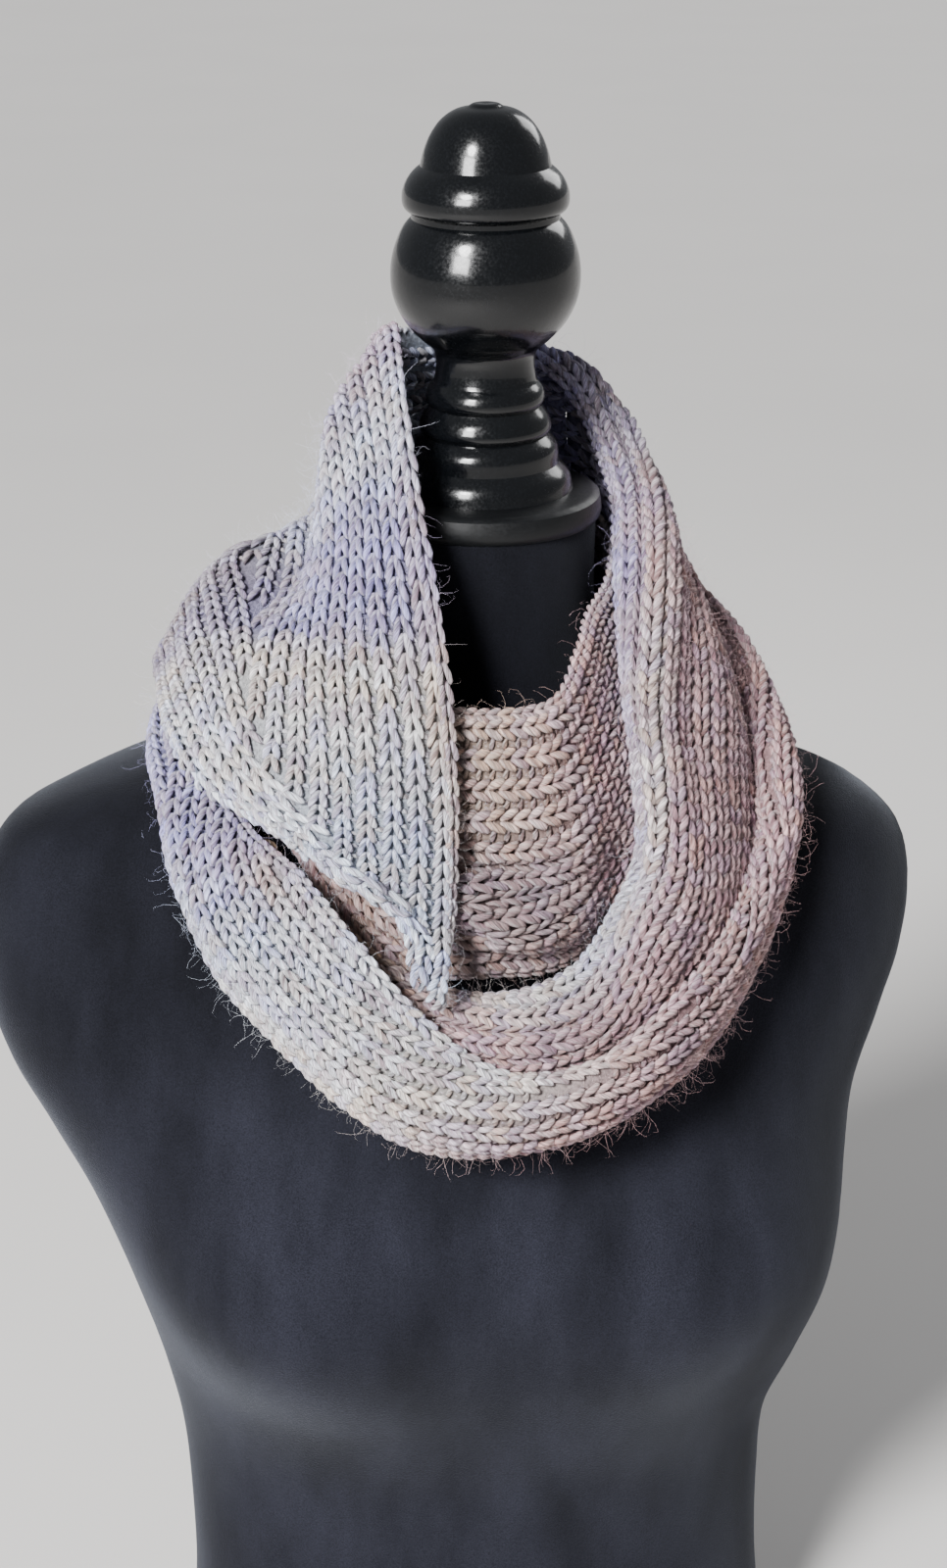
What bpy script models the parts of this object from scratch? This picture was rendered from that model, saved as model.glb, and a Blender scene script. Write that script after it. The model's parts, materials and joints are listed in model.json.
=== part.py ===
"""Knitted infinity scarf wound three times round a limbless dress form. Metres, +Z up, front at -Y."""

import math

import bmesh
import bpy
import numpy as np

MM = 0.001

# The form stands on z = 0. Table heights are measured from the cap's top face, in millimetres.
CAP_TOP = 632.0
CAP_RADIUS = 51.0
CAP_THICK = 12.0
CAP_ROUND = 3.0
CAP_GAP = 0.3
FORM_TURN_DEG = 8.0
FORM_SIDES = 40
BUST_HEIGHT = -362.0
BUST_REACH = 22.0
BUST_ANGLE_DEG = 44.0
BUST_SPREAD_DEG = 26.0
BUST_TALL = 60.0
FINIAL_STEPS = 28

# The cloth: one wall, ribs raised on its outer side only.
WALL = 3.0
RIB_RAISE = 2.4
RIB_PER_PITCH = 0.24
SEAM_GAP = 0.6
NORMAL_STEP = 2.0

# Torso rings: half-widths and half-depths at each height. "square" is the superellipse power.
TORSO_COLUMNS = ("height", "left", "right", "front", "back", "square")
TORSO = [
    (-12.3, 49, 49, 49, 49, 2.0),
    (-50, 49, 49, 49, 50, 2.0),
    (-76, 54, 53, 51, 58, 2.0),
    (-90, 63, 61, 54, 72, 2.0),
    (-101, 79, 75, 56, 83, 2.0),
    (-110, 101, 91, 58, 91, 2.0),
    (-118, 130, 107, 60, 97, 2.0),
    (-126, 160, 121, 63, 101, 2.0),
    (-134, 186, 136, 65, 104, 2.0),
    (-142, 205, 152, 67, 106, 2.0),
    (-153, 221, 181, 72, 108, 2.1),
    (-168, 230, 196, 76, 110, 2.1),
    (-190, 234, 202, 82, 111, 2.1),
    (-220, 233, 200, 92, 110, 2.2),
    (-255, 225, 190, 102, 107, 2.2),
    (-290, 208, 178, 112, 103, 2.2),
    (-325, 190, 173, 118, 99, 2.2),
    (-360, 176, 170, 118, 95, 2.2),
    (-395, 166, 167, 112, 90, 2.2),
    (-430, 158, 158, 102, 86, 2.2),
    (-470, 151, 143, 92, 82, 2.2),
    (-520, 148, 140, 88, 83, 2.2),
    (-570, 148, 141, 93, 92, 2.2),
    (-610, 152, 145, 99, 100, 2.2),
    (-628, 153, 146, 100, 102, 2.2),
    (-632, 149, 142, 96, 98, 2.2),
]

# Finial outline from the top down.
FINIAL_COLUMNS = ("radius", "height")
FINIAL = [
    (0, 167),
    (6, 167),
    (7.5, 166),
    (13, 164.5),
    (19, 160.5),
    (23.5, 154.5),
    (26.5, 147.5),
    (28, 141.5),
    (30.5, 139.5),
    (34, 135),
    (35.8, 129.5),
    (35, 124),
    (32, 121.5),
    (32, 119.5),
    (34, 117.5),
    (38.5, 109),
    (41, 97),
    (40, 86),
    (35.5, 76),
    (28, 67.5),
    (22.5, 62.5),
    (21.5, 56),
    (22.5, 49),
    (25.5, 45),
    (26, 40.5),
    (24.5, 38),
    (28, 33),
    (29, 28),
    (27.5, 25.5),
    (31.5, 21),
    (32.5, 13),
    (37, 8),
    (39, 0.3),
    (0, 0.3),
]

# Rings of the loop: angle round the neck (0 front, 90 right, 180 back), then radius and height of four or
# five places across the cloth, from its upper edge to its lower edge.
RING_4 = ("angle", "r_top", "z_top", "r_upper", "z_upper", "r_lower", "z_lower", "r_edge", "z_edge")
RING_5 = RING_4[:5] + ("r_middle", "z_middle") + RING_4[5:]

NECK_BAND = [
    (0, 90, -73, 101, -106, 115, -152, 110, -186),
    (20, 88, -70, 99, -103, 111, -148, 107, -184),
    (35, 72, -57, 84, -90, 95, -128, 98, -166),
    (50, 61, -45, 73, -74, 85, -103, 96, -131),
    (70, 59, -36, 67, -57, 76, -79, 85, -101),
    (90, 58, -28, 64, -48, 71, -68, 79, -90),
    (135, 61, -18, 64, -38, 69, -58, 76, -78),
    (180, 61, -12, 64, -34, 69, -55, 77, -76),
    (225, 62, -18, 65, -38, 70, -58, 76, -78),
    (270, 64, -32, 69, -52, 75, -72, 83, -91),
    (295, 70, -48, 76, -66, 85, -85, 95, -104),
    (310, 76, -57, 86, -82, 99.5, -107, 113, -132),
    (325, 82, -64, 93, -96, 104, -130, 110, -166),
    (340, 88, -71, 100, -106, 111, -146, 112, -184),
]

OUTER_BAND = [
    (-112, 115, -86, 129, -88, 141, -97, 146, -111),
    (-96, 118, -96, 133, -95, 146, -101, 152, -112),
    (-82, 120, -105, 135, -103, 147, -108, 154, -117),
    (-71, 124, -113, 139, -112, 150, -116, 155, -124),
    (-60, 130, -121, 146, -127, 157, -138, 157.4, -153),
    (-48, 134, -130, 149, -145, 160, -167, 155, -191),
    (-36, 137, -138, 150, -158, 157, -190, 149, -217),
    (-24, 143, -158, 153, -182, 156, -212, 146, -239),
    (-12, 149, -186, 156, -208, 156, -232, 144, -254),
    (3, 151, -213, 158, -226, 155, -243, 140, -257),
    (17, 152, -211, 158, -223, 154, -239, 139, -252),
    (31, 151, -192, 157, -206, 151, -227, 136, -243),
    (46, 145, -171, 152, -184, 147, -206, 135, -230),
    (59, 137, -150, 146, -153, 149, -169, 142, -193),
    (71, 129, -129, 139, -124, 146, -132, 146, -149),
    (82, 121, -109, 131, -105, 139, -115, 142, -132),
    (95, 114, -90, 124, -88, 132, -101, 138, -123),
    (107, 107, -75, 117, -73, 125, -86, 132, -109),
    (118, 100, -63, 110, -62, 119, -77, 126, -102),
    (128, 97, -53, 105, -55, 112, -72, 119, -98),
]

BACK_LOW = [
    (148, 104, -52, 111, -64, 117, -86, 121, -118),
    (168, 107, -58, 114, -76, 120, -102, 123, -136),
    (188, 108, -64, 116, -84, 122, -110, 124, -142),
    (204, 108, -71, 118, -86, 127, -108, 130, -136),
    (218, 109, -79, 122, -87, 133, -103, 137, -125),
    (232, 112, -84, 127, -87, 138, -98, 143, -116),
]

BACK_HIGH = [
    (148, 60, 39, 67, 46, 74, 4, 83, -28, 91, -56),
    (165, 64, 47, 69, 46, 75, 4, 84, -28, 92, -56),
    (182, 67, 53, 72, 26, 79, -4, 87, -30, 97, -56),
    (200, 65, 56, 72, 24, 83, -6, 94, -32, 105, -60),
    (215, 63, 59, 74, 20, 89, -12, 103, -38, 116, -68),
    (230, 62, 60, 80, 14, 97, -22, 113, -48, 127, -78),
]

# Falls: x (right), y (back) and z of five places across the cloth, from the free edge outwards.
FALL_5 = tuple(axis + "_" + place for place in ("free", "upper", "middle", "lower", "edge") for axis in "xyz")

LEFT_FALL = [
    (-44, 28, 65, -67, 32, 22, -77, 34, -19, -97, 40, -38, -116, 48, -70),
    (-41, 16, 67, -68, 15, 28, -79, 10, -18, -120, 6, -38, -146, 2, -78),
    (-36, -25, 45, -66, -28, -2, -87, -20, -39, -124, -18, -49, -147, -14, -86),
    (-29, -62, 8, -58, -66, -24, -90, -54, -50, -124, -40, -66, -145, -27, -93),
    (-20, -88, -35, -54, -94, -52, -90, -82, -72, -120, -60, -86, -140, -42, -98),
    (-15, -104, -76, -48, -111, -87, -80, -106, -95, -104, -94, -102, -123, -78, -108),
    (-13, -118, -118, -36, -125, -118, -57, -127, -118, -74, -121, -118, -88, -110, -117),
    (-14, -131, -147, -26, -135, -143, -38, -136, -138, -52, -133, -132, -67, -126, -126),
    (-16, -140, -168, -19, -142, -163, -24, -142, -157, -29, -141, -151, -35, -138, -145),
    (-18, -147, -184, -20, -147, -181, -22, -147, -178, -25, -146, -174, -28, -145, -170),
]

LAPEL = [
    (-97, -80, -134, -99, -83, -138, -100, -85, -142, -101, -86, -146, -101, -86, -150),
    (-75, -94, -157, -82, -101, -163, -87, -106, -174, -88, -107, -187, -84, -102, -200),
    (-51, -111, -172, -55, -119, -175, -57, -125, -186, -56, -124, -200, -53, -116, -214),
    (-20, -115, -189, -22, -130, -188, -24, -139, -197, -23, -137, -211, -21, -128, -225),
    (10, -120, -189, 10, -140, -195, 11, -146, -206, 10, -141, -222, 9, -130, -236),
    (36, -113, -182, 42, -131, -193, 45, -139, -204, 44, -135, -217, 41, -125, -230),
    (54, -94, -163, 67, -118, -161, 75, -124, -176, 77, -118, -196, 74, -110, -214),
    (65, -88, -137, 72, -102, -130, 89, -104, -150, 98, -99, -169, 101, -90, -188),
    (63, -76, -101, 68, -88, -97, 91, -87, -119, 107, -79, -142, 116, -69, -161),
    (59, -60, -74, 64, -70, -70, 90, -65, -92, 108, -55, -114, 120, -44, -137),
    (57, -44, -50, 65, -51, -47, 95, -44, -73, 111, -34, -97, 119, -24, -125),
    (57, -17, -21, 72, -22, -19, 95, -17, -52, 108, -10, -79, 115, -2, -108),
    (57, 9, -7, 75, 4, -5, 89, 7, -37, 101, 11, -65, 110, 15, -95),
    (51, 36, 8, 67, 32, 13, 75, 36, -20, 84, 41, -51, 91, 45, -79),
]

# Each stretch runs between two rows of a turn.
STRETCH_COLUMNS = ("name", "ribs", "steps", "turn", "first_row", "last_row")
STRETCHES = [
    ("scarf_lapel", 8, 40, "high", 0, 14),
    ("scarf_back_high", 11, 13, "high", 14, 19),
    ("scarf_left_fall", 14, 26, "high", 19, 29),
    ("scarf_outer_left", 6, 16, "low", 0, 7),
    ("scarf_outer_front", 6, 12, "low", 7, 12),
    ("scarf_outer_right", 6, 15, "low", 12, 19),
    ("scarf_back_low", 6, 17, "low", 19, 26),
    ("scarf_neck_band", 9, 40, "neck", 0, 14),
]

COLOURS = {
    "form_torso": (0.02, 0.02, 0.024, 1.0),
    "neck_cap": (0.01, 0.01, 0.01, 1.0),
    "finial": (0.01, 0.01, 0.01, 1.0),
    "scarf": (0.55, 0.50, 0.54, 1.0),
}


def ring_points(row):
    """The places across the cloth of one ring row, as x, y, z."""
    angle = math.radians(row[0])
    radii = row[1::2]
    heights = row[2::2]
    return [(r * math.sin(angle), -r * math.cos(angle), z) for r, z in zip(radii, heights)]


def fall_points(row):
    return [row[i : i + 3] for i in range(0, len(row), 3)]


def slopes(knots, values):
    """Slopes for a smooth cubic through the values at uneven knots."""
    gaps = np.diff(knots)
    rise = np.diff(values, axis=0) / gaps[:, None]
    out = np.empty_like(values)
    out[0] = rise[0]
    out[-1] = rise[-1]
    weight = gaps[:, None]
    out[1:-1] = (rise[:-1] * weight[1:] + rise[1:] * weight[:-1]) / (weight[:-1] + weight[1:])
    return out


def smooth_through(values, where):
    """Points at the fractions in where along a smooth line through values (rows)."""
    values = np.asarray(values, float)
    flat = values.reshape(len(values), -1)
    steps = np.linalg.norm(np.diff(flat, axis=0), axis=1)
    knots = np.concatenate([[0.0], np.cumsum(np.maximum(steps, 1e-6))])
    knots /= knots[-1]
    slope = slopes(knots, flat)
    index = np.clip(np.searchsorted(knots, where, side="right") - 1, 0, len(knots) - 2)
    gap = knots[index + 1] - knots[index]
    t = ((where - knots[index]) / gap)[:, None]
    gap = gap[:, None]
    p0 = flat[index]
    p1 = flat[index + 1]
    m0 = slope[index] * gap
    m1 = slope[index + 1] * gap
    out = p0 * (2 * t**3 - 3 * t**2 + 1) + m0 * (t**3 - 2 * t**2 + t)
    out += p1 * (3 * t**2 - 2 * t**3) + m1 * (t**3 - t**2)
    return out.reshape((len(where),) + values.shape[1:])


class Turn:
    """One turn of the loop: a smooth surface through its rows, measured along its middle."""

    def __init__(self, rows, closed):
        rows = np.asarray(rows, float)
        self.closed = closed
        self.count = len(rows)
        if closed:
            rows = np.concatenate([rows[-3:], rows, rows[:4]])
        self.fine = smooth_through(rows, np.linspace(0, 1, 3001))
        middle = self.fine[:, rows.shape[1] // 2]
        self.run = np.concatenate([[0.0], np.cumsum(np.linalg.norm(np.diff(middle, axis=0), axis=1))])
        steps = np.linalg.norm(np.diff(rows.reshape(len(rows), -1), axis=0), axis=1)
        knots = np.concatenate([[0.0], np.cumsum(steps)])
        self.knots = np.interp(knots / knots[-1], np.linspace(0, 1, 3001), self.run)

    def place(self, row):
        """Distance along the turn of a table row."""
        return self.knots[row + 3] if self.closed else self.knots[row]

    def line(self, along, across):
        """Points across the cloth at one distance along, evenly spaced by length."""
        at = np.interp(along, self.run, np.arange(len(self.run)))
        low = min(int(at), len(self.run) - 2)
        section = self.fine[low] + (self.fine[low + 1] - self.fine[low]) * (at - low)
        curve = smooth_through(section, np.linspace(0, 1, 101))
        length = np.concatenate([[0.0], np.cumsum(np.linalg.norm(np.diff(curve, axis=0), axis=1))])
        even = np.linspace(0, length[-1], across + 1)
        return np.stack([np.interp(even, length, curve[:, k]) for k in range(3)], axis=1)


def cloth_grid(turn, start, end, steps, across):
    """Points and outward unit normals of one stretch, steps along and evenly across."""
    points = []
    normals = []
    for along in np.linspace(start, end, steps + 1):
        here = turn.line(along, across)
        ahead = turn.line(min(along + NORMAL_STEP, turn.run[-1]), across)
        behind = turn.line(max(along - NORMAL_STEP, 0.0), across)
        normal = np.cross(np.gradient(here, axis=0), ahead - behind)
        points.append(here)
        normals.append(normal / np.linalg.norm(normal, axis=1, keepdims=True))
    return np.array(points), np.array(normals)


def new_object(name, vertices, faces, colour, smooth_deg):
    mesh = bpy.data.meshes.new(name)
    mesh.from_pydata([tuple(v * MM) for v in vertices], [], faces)
    bm = bmesh.new()
    bm.from_mesh(mesh)
    bmesh.ops.recalc_face_normals(bm, faces=bm.faces)
    bm.to_mesh(mesh)
    bm.free()
    mesh.shade_smooth()
    mesh.set_sharp_from_angle(angle=math.radians(smooth_deg))
    material = bpy.data.materials.new(name)
    material.use_nodes = True
    shader = material.node_tree.nodes["Principled BSDF"]
    shader.inputs["Base Color"].default_value = colour
    shader.inputs["Roughness"].default_value = 0.9
    mesh.materials.append(material)
    built = bpy.data.objects.new(name, mesh)
    COLLECTION.objects.link(built)
    return built


def build_stretch(name, turn, ribs, steps, first, last):
    """A knitted stretch: plain inner side, ribs raised in the outer points."""
    across = 2 * ribs
    whole = turn.closed and last - first == turn.count
    gap = 0.0 if whole else SEAM_GAP / 2
    grid, normal = cloth_grid(turn, turn.place(first) + gap, turn.place(last) - gap, steps, across)
    if whole:
        grid = grid[:-1]
        normal = normal[:-1]
    pitch = np.linalg.norm(np.diff(grid, axis=1), axis=2).mean(axis=1) * 2
    raise_by = np.minimum(RIB_RAISE, RIB_PER_PITCH * pitch)
    crest = np.array([j % 2 for j in range(across + 1)], float)
    outer = grid + normal * (raise_by[:, None] * crest[None, :])[:, :, None]
    inner = grid - normal * WALL
    count = len(grid)
    wide = across + 1
    vertices = np.concatenate([outer.reshape(-1, 3), inner.reshape(-1, 3)])
    vertices[:, 2] += CAP_TOP
    half = count * wide
    faces = []
    for i in range(count if whole else count - 1):
        a = i * wide
        b = (i + 1) % count * wide
        for j in range(across):
            faces.append((a + j, a + j + 1, b + j + 1, b + j))
            faces.append((half + a + j, half + b + j, half + b + j + 1, half + a + j + 1))
        for j in (0, across):
            faces.append((a + j, b + j, half + b + j, half + a + j))
    if not whole:
        for a in (0, (count - 1) * wide):
            for j in range(across):
                faces.append((a + j, a + j + 1, half + a + j + 1, half + a + j))
    return new_object(name, vertices, faces, COLOURS["scarf"], 35)


def torso_point(row, angle):
    """A point on one torso ring. Angle 0 is the front, 90 degrees the right of the picture."""
    height, left, right, front, back, square = row
    s = math.sin(angle)
    c = math.cos(angle)
    wide = right if s > 0 else left
    deep = front if c > 0 else back
    reach = (abs(s / wide) ** square + abs(c / deep) ** square) ** (-1 / square)
    bust = 0.0
    for side in (-1, 1):
        off = math.degrees(angle) - side * BUST_ANGLE_DEG
        off = (off + 180) % 360 - 180
        bust += math.exp(-((off / BUST_SPREAD_DEG) ** 2))
    tall = math.exp(-(((height - BUST_HEIGHT) / BUST_TALL) ** 2))
    reach += BUST_REACH * bust * tall
    turned = angle + math.radians(FORM_TURN_DEG)
    return (reach * math.sin(turned), -reach * math.cos(turned), height + CAP_TOP)


def build_torso():
    vertices = []
    for row in TORSO:
        for k in range(FORM_SIDES):
            vertices.append(torso_point(row, 2 * math.pi * k / FORM_SIDES))
    faces = []
    for i in range(len(TORSO) - 1):
        for k in range(FORM_SIDES):
            n = (k + 1) % FORM_SIDES
            faces.append((i * FORM_SIDES + k, i * FORM_SIDES + n, (i + 1) * FORM_SIDES + n, (i + 1) * FORM_SIDES + k))
    last = (len(TORSO) - 1) * FORM_SIDES
    faces.append(tuple(range(FORM_SIDES)))
    faces.append(tuple(range(last, last + FORM_SIDES)))
    return new_object("form_torso", np.array(vertices), faces, COLOURS["form_torso"], 40)


def build_turned(name, profile, steps, smooth_deg):
    """A turned solid from an outline of (radius, height), both ends on the axis."""
    vertices = []
    rows = []
    for radius, height in profile:
        if radius == 0:
            rows.append([len(vertices)] * steps)
            vertices.append((0, 0, height + CAP_TOP))
            continue
        rows.append(list(range(len(vertices), len(vertices) + steps)))
        for k in range(steps):
            a = 2 * math.pi * k / steps
            vertices.append((radius * math.sin(a), -radius * math.cos(a), height + CAP_TOP))
    faces = []
    for upper, lower in zip(rows, rows[1:]):
        for k in range(steps):
            n = (k + 1) % steps
            corner = (upper[k], upper[n], lower[n], lower[k])
            unique = tuple(dict.fromkeys(corner))
            if len(unique) > 2:
                faces.append(unique)
    return new_object(name, np.array(vertices, float), faces, COLOURS[name], smooth_deg)


for old in list(bpy.data.objects):
    bpy.data.objects.remove(old)
COLLECTION = bpy.data.collections.new("infinity_scarf_on_dress_form")
bpy.context.scene.collection.children.link(COLLECTION)

CAP = [
    (0, 0),
    (CAP_RADIUS - CAP_ROUND, 0),
    (CAP_RADIUS - 0.3 * CAP_ROUND, -0.3 * CAP_ROUND),
    (CAP_RADIUS, -CAP_ROUND),
    (CAP_RADIUS, -CAP_THICK + 1),
    (CAP_RADIUS - 1, -CAP_THICK),
    (0, -CAP_THICK),
]
build_torso()
build_turned("neck_cap", CAP, 48, 40)
build_turned("finial", FINIAL, FINIAL_STEPS, 40)

high_rows = [fall_points(row) for row in LAPEL]
high_rows += [ring_points(row) for row in BACK_HIGH]
high_rows += [fall_points(row) for row in LEFT_FALL]
TURNS = {
    "high": Turn(high_rows, False),
    "low": Turn([ring_points(row) for row in OUTER_BAND + BACK_LOW], True),
    "neck": Turn([ring_points(row) for row in NECK_BAND], True),
}
for name, ribs, steps, turn, first, last in STRETCHES:
    build_stretch(name, TURNS[turn], ribs, steps, first, last)
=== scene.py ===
"""Looks of the knitted infinity scarf on its velvet dress form: cloth, stitches, form, stage and camera."""

import json
import math

import bpy
import numpy as np
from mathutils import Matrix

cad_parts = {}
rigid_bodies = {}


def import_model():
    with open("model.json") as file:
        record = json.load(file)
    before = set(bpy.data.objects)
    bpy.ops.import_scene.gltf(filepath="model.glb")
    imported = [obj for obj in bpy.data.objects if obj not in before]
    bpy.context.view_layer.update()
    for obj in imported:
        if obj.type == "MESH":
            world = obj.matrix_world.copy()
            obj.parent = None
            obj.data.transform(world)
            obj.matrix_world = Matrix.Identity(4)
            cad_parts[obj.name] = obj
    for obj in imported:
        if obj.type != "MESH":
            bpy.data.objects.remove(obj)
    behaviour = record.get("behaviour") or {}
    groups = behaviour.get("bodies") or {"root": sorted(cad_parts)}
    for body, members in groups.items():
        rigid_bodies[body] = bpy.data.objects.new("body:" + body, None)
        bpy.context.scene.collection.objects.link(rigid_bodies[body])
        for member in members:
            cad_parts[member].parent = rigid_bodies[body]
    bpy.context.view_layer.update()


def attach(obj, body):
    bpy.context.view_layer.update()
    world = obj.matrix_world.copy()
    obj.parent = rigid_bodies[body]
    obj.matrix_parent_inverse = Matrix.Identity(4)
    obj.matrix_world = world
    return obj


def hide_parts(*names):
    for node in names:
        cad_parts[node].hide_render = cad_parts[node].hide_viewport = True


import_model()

bl_info = {
    "name": "Infinity scarf on a dress form",
    "version": (1, 0, 0),
    "blender": (4, 5, 0),
    "location": "3D View > Sidebar > Scarf",
    "description": "Builds a space-dyed rib-knit infinity scarf, its velvet dress form and a plain studio",
    "category": "Object",
}

MM = 0.001
BODY = "root"

# The form stands on z = 0. Table heights are measured from the cap's top face, in millimetres.
CAP_TOP = 632.0
FORM_TURN_DEG = 8.0
BUST_HEIGHT = -362.0
BUST_REACH = 22.0
BUST_ANGLE_DEG = 44.0
BUST_SPREAD_DEG = 26.0
BUST_TALL = 60.0

# Torso rings: half-widths and half-depths at each height, and the superellipse's power.
# Columns: height, left, right, front, back, square.
TORSO = [
    (-12.3, 49, 49, 49, 49, 2.0),
    (-50, 49, 49, 49, 50, 2.0),
    (-76, 54, 53, 51, 58, 2.0),
    (-90, 63, 61, 54, 72, 2.0),
    (-101, 79, 75, 56, 83, 2.0),
    (-110, 101, 91, 58, 91, 2.0),
    (-118, 130, 107, 60, 97, 2.0),
    (-126, 160, 121, 63, 101, 2.0),
    (-134, 186, 136, 65, 104, 2.0),
    (-142, 205, 152, 67, 106, 2.0),
    (-153, 221, 181, 72, 108, 2.1),
    (-168, 230, 196, 76, 110, 2.1),
    (-190, 234, 202, 82, 111, 2.1),
    (-220, 233, 200, 92, 110, 2.2),
    (-255, 225, 190, 102, 107, 2.2),
    (-290, 208, 178, 112, 103, 2.2),
    (-325, 190, 173, 118, 99, 2.2),
    (-360, 176, 170, 118, 95, 2.2),
    (-395, 166, 167, 112, 90, 2.2),
    (-430, 158, 158, 102, 86, 2.2),
    (-470, 151, 143, 92, 82, 2.2),
    (-520, 148, 140, 88, 83, 2.2),
    (-570, 148, 141, 93, 92, 2.2),
    (-610, 152, 145, 99, 100, 2.2),
    (-628, 153, 146, 100, 102, 2.2),
    (-632, 149, 142, 96, 98, 2.2),
]

# Turned outlines from the top down. A corner is 1 where the lathe left a crisp edge.
# Columns: radius, height, corner.
FINIAL = [
    (0, 167, 1),
    (6, 167, 0),
    (7.5, 166, 1),
    (13, 164.5, 0),
    (19, 160.5, 0),
    (23.5, 154.5, 0),
    (26.5, 147.5, 0),
    (28, 141.5, 1),
    (30.5, 139.5, 0),
    (34, 135, 0),
    (35.8, 129.5, 0),
    (35, 124, 0),
    (32, 121.5, 1),
    (32, 119.5, 1),
    (34, 117.5, 0),
    (38.5, 109, 0),
    (41, 97, 0),
    (40, 86, 0),
    (35.5, 76, 0),
    (28, 67.5, 0),
    (22.5, 62.5, 0),
    (21.5, 56, 0),
    (22.5, 49, 1),
    (25.5, 45, 0),
    (26, 40.5, 0),
    (24.5, 38, 1),
    (28, 33, 0),
    (29, 28, 0),
    (27.5, 25.5, 1),
    (31.5, 21, 0),
    (32.5, 13, 1),
    (37, 8, 0),
    (39, 0.3, 1),
    (0, 0.3, 1),
]
CAP = [
    (0, 0, 1),
    (47.5, 0, 0),
    (49.3, -0.4, 0),
    (50.6, -1.6, 0),
    (51, -3.5, 0),
    (51, -10.6, 0),
    (50.4, -11.7, 0),
    (49.6, -12, 1),
    (0, -12, 1),
]

# Rings of the loop: angle round the neck (0 front, 90 right, 180 back), then radius and height of four or
# five places across the cloth, from its upper edge to its lower edge.
# Columns: angle, then r and z of the top, upper, (middle,) lower and edge places.
NECK_BAND = [
    (0, 90, -73, 101, -106, 115, -152, 110, -186),
    (20, 88, -70, 99, -103, 111, -148, 107, -184),
    (35, 72, -57, 84, -90, 95, -128, 98, -166),
    (50, 61, -45, 73, -74, 85, -103, 96, -131),
    (70, 59, -36, 67, -57, 76, -79, 85, -101),
    (90, 58, -28, 64, -48, 71, -68, 79, -90),
    (135, 61, -18, 64, -38, 69, -58, 76, -78),
    (180, 61, -12, 64, -34, 69, -55, 77, -76),
    (225, 62, -18, 65, -38, 70, -58, 76, -78),
    (270, 64, -32, 69, -52, 75, -72, 83, -91),
    (295, 70, -48, 76, -66, 85, -85, 95, -104),
    (310, 76, -57, 86, -82, 99.5, -107, 113, -132),
    (325, 82, -64, 93, -96, 104, -130, 110, -166),
    (340, 88, -71, 100, -106, 111, -146, 112, -184),
]

OUTER_BAND = [
    (-112, 115, -86, 129, -88, 141, -97, 146, -111),
    (-96, 118, -96, 133, -95, 146, -101, 152, -112),
    (-82, 120, -105, 135, -103, 147, -108, 154, -117),
    (-71, 124, -113, 139, -112, 150, -116, 155, -124),
    (-60, 130, -121, 146, -127, 157, -138, 157.4, -153),
    (-48, 134, -130, 149, -145, 160, -167, 155, -191),
    (-36, 137, -138, 150, -158, 157, -190, 149, -217),
    (-24, 143, -158, 153, -182, 156, -212, 146, -239),
    (-12, 149, -186, 156, -208, 156, -232, 144, -254),
    (3, 151, -213, 158, -226, 155, -243, 140, -257),
    (17, 152, -211, 158, -223, 154, -239, 139, -252),
    (31, 151, -192, 157, -206, 151, -227, 136, -243),
    (46, 145, -171, 152, -184, 147, -206, 135, -230),
    (59, 137, -150, 146, -153, 149, -169, 142, -193),
    (71, 129, -129, 139, -124, 146, -132, 146, -149),
    (82, 121, -109, 131, -105, 139, -115, 142, -132),
    (95, 114, -90, 124, -88, 132, -101, 138, -123),
    (107, 107, -75, 117, -73, 125, -86, 132, -109),
    (118, 100, -63, 110, -62, 119, -77, 126, -102),
    (128, 97, -53, 105, -55, 112, -72, 119, -98),
]

BACK_LOW = [
    (148, 104, -52, 111, -64, 117, -86, 121, -118),
    (168, 107, -58, 114, -76, 120, -102, 123, -136),
    (188, 108, -64, 116, -84, 122, -110, 124, -142),
    (204, 108, -71, 118, -86, 127, -108, 130, -136),
    (218, 109, -79, 122, -87, 133, -103, 137, -125),
    (232, 112, -84, 127, -87, 138, -98, 143, -116),
]

BACK_HIGH = [
    (148, 60, 39, 67, 46, 74, 4, 83, -28, 91, -56),
    (165, 64, 47, 69, 46, 75, 4, 84, -28, 92, -56),
    (182, 67, 53, 72, 26, 79, -4, 87, -30, 97, -56),
    (200, 65, 56, 72, 24, 83, -6, 94, -32, 105, -60),
    (215, 63, 59, 74, 20, 89, -12, 103, -38, 116, -68),
    (230, 62, 60, 80, 14, 97, -22, 113, -48, 127, -78),
]

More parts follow.
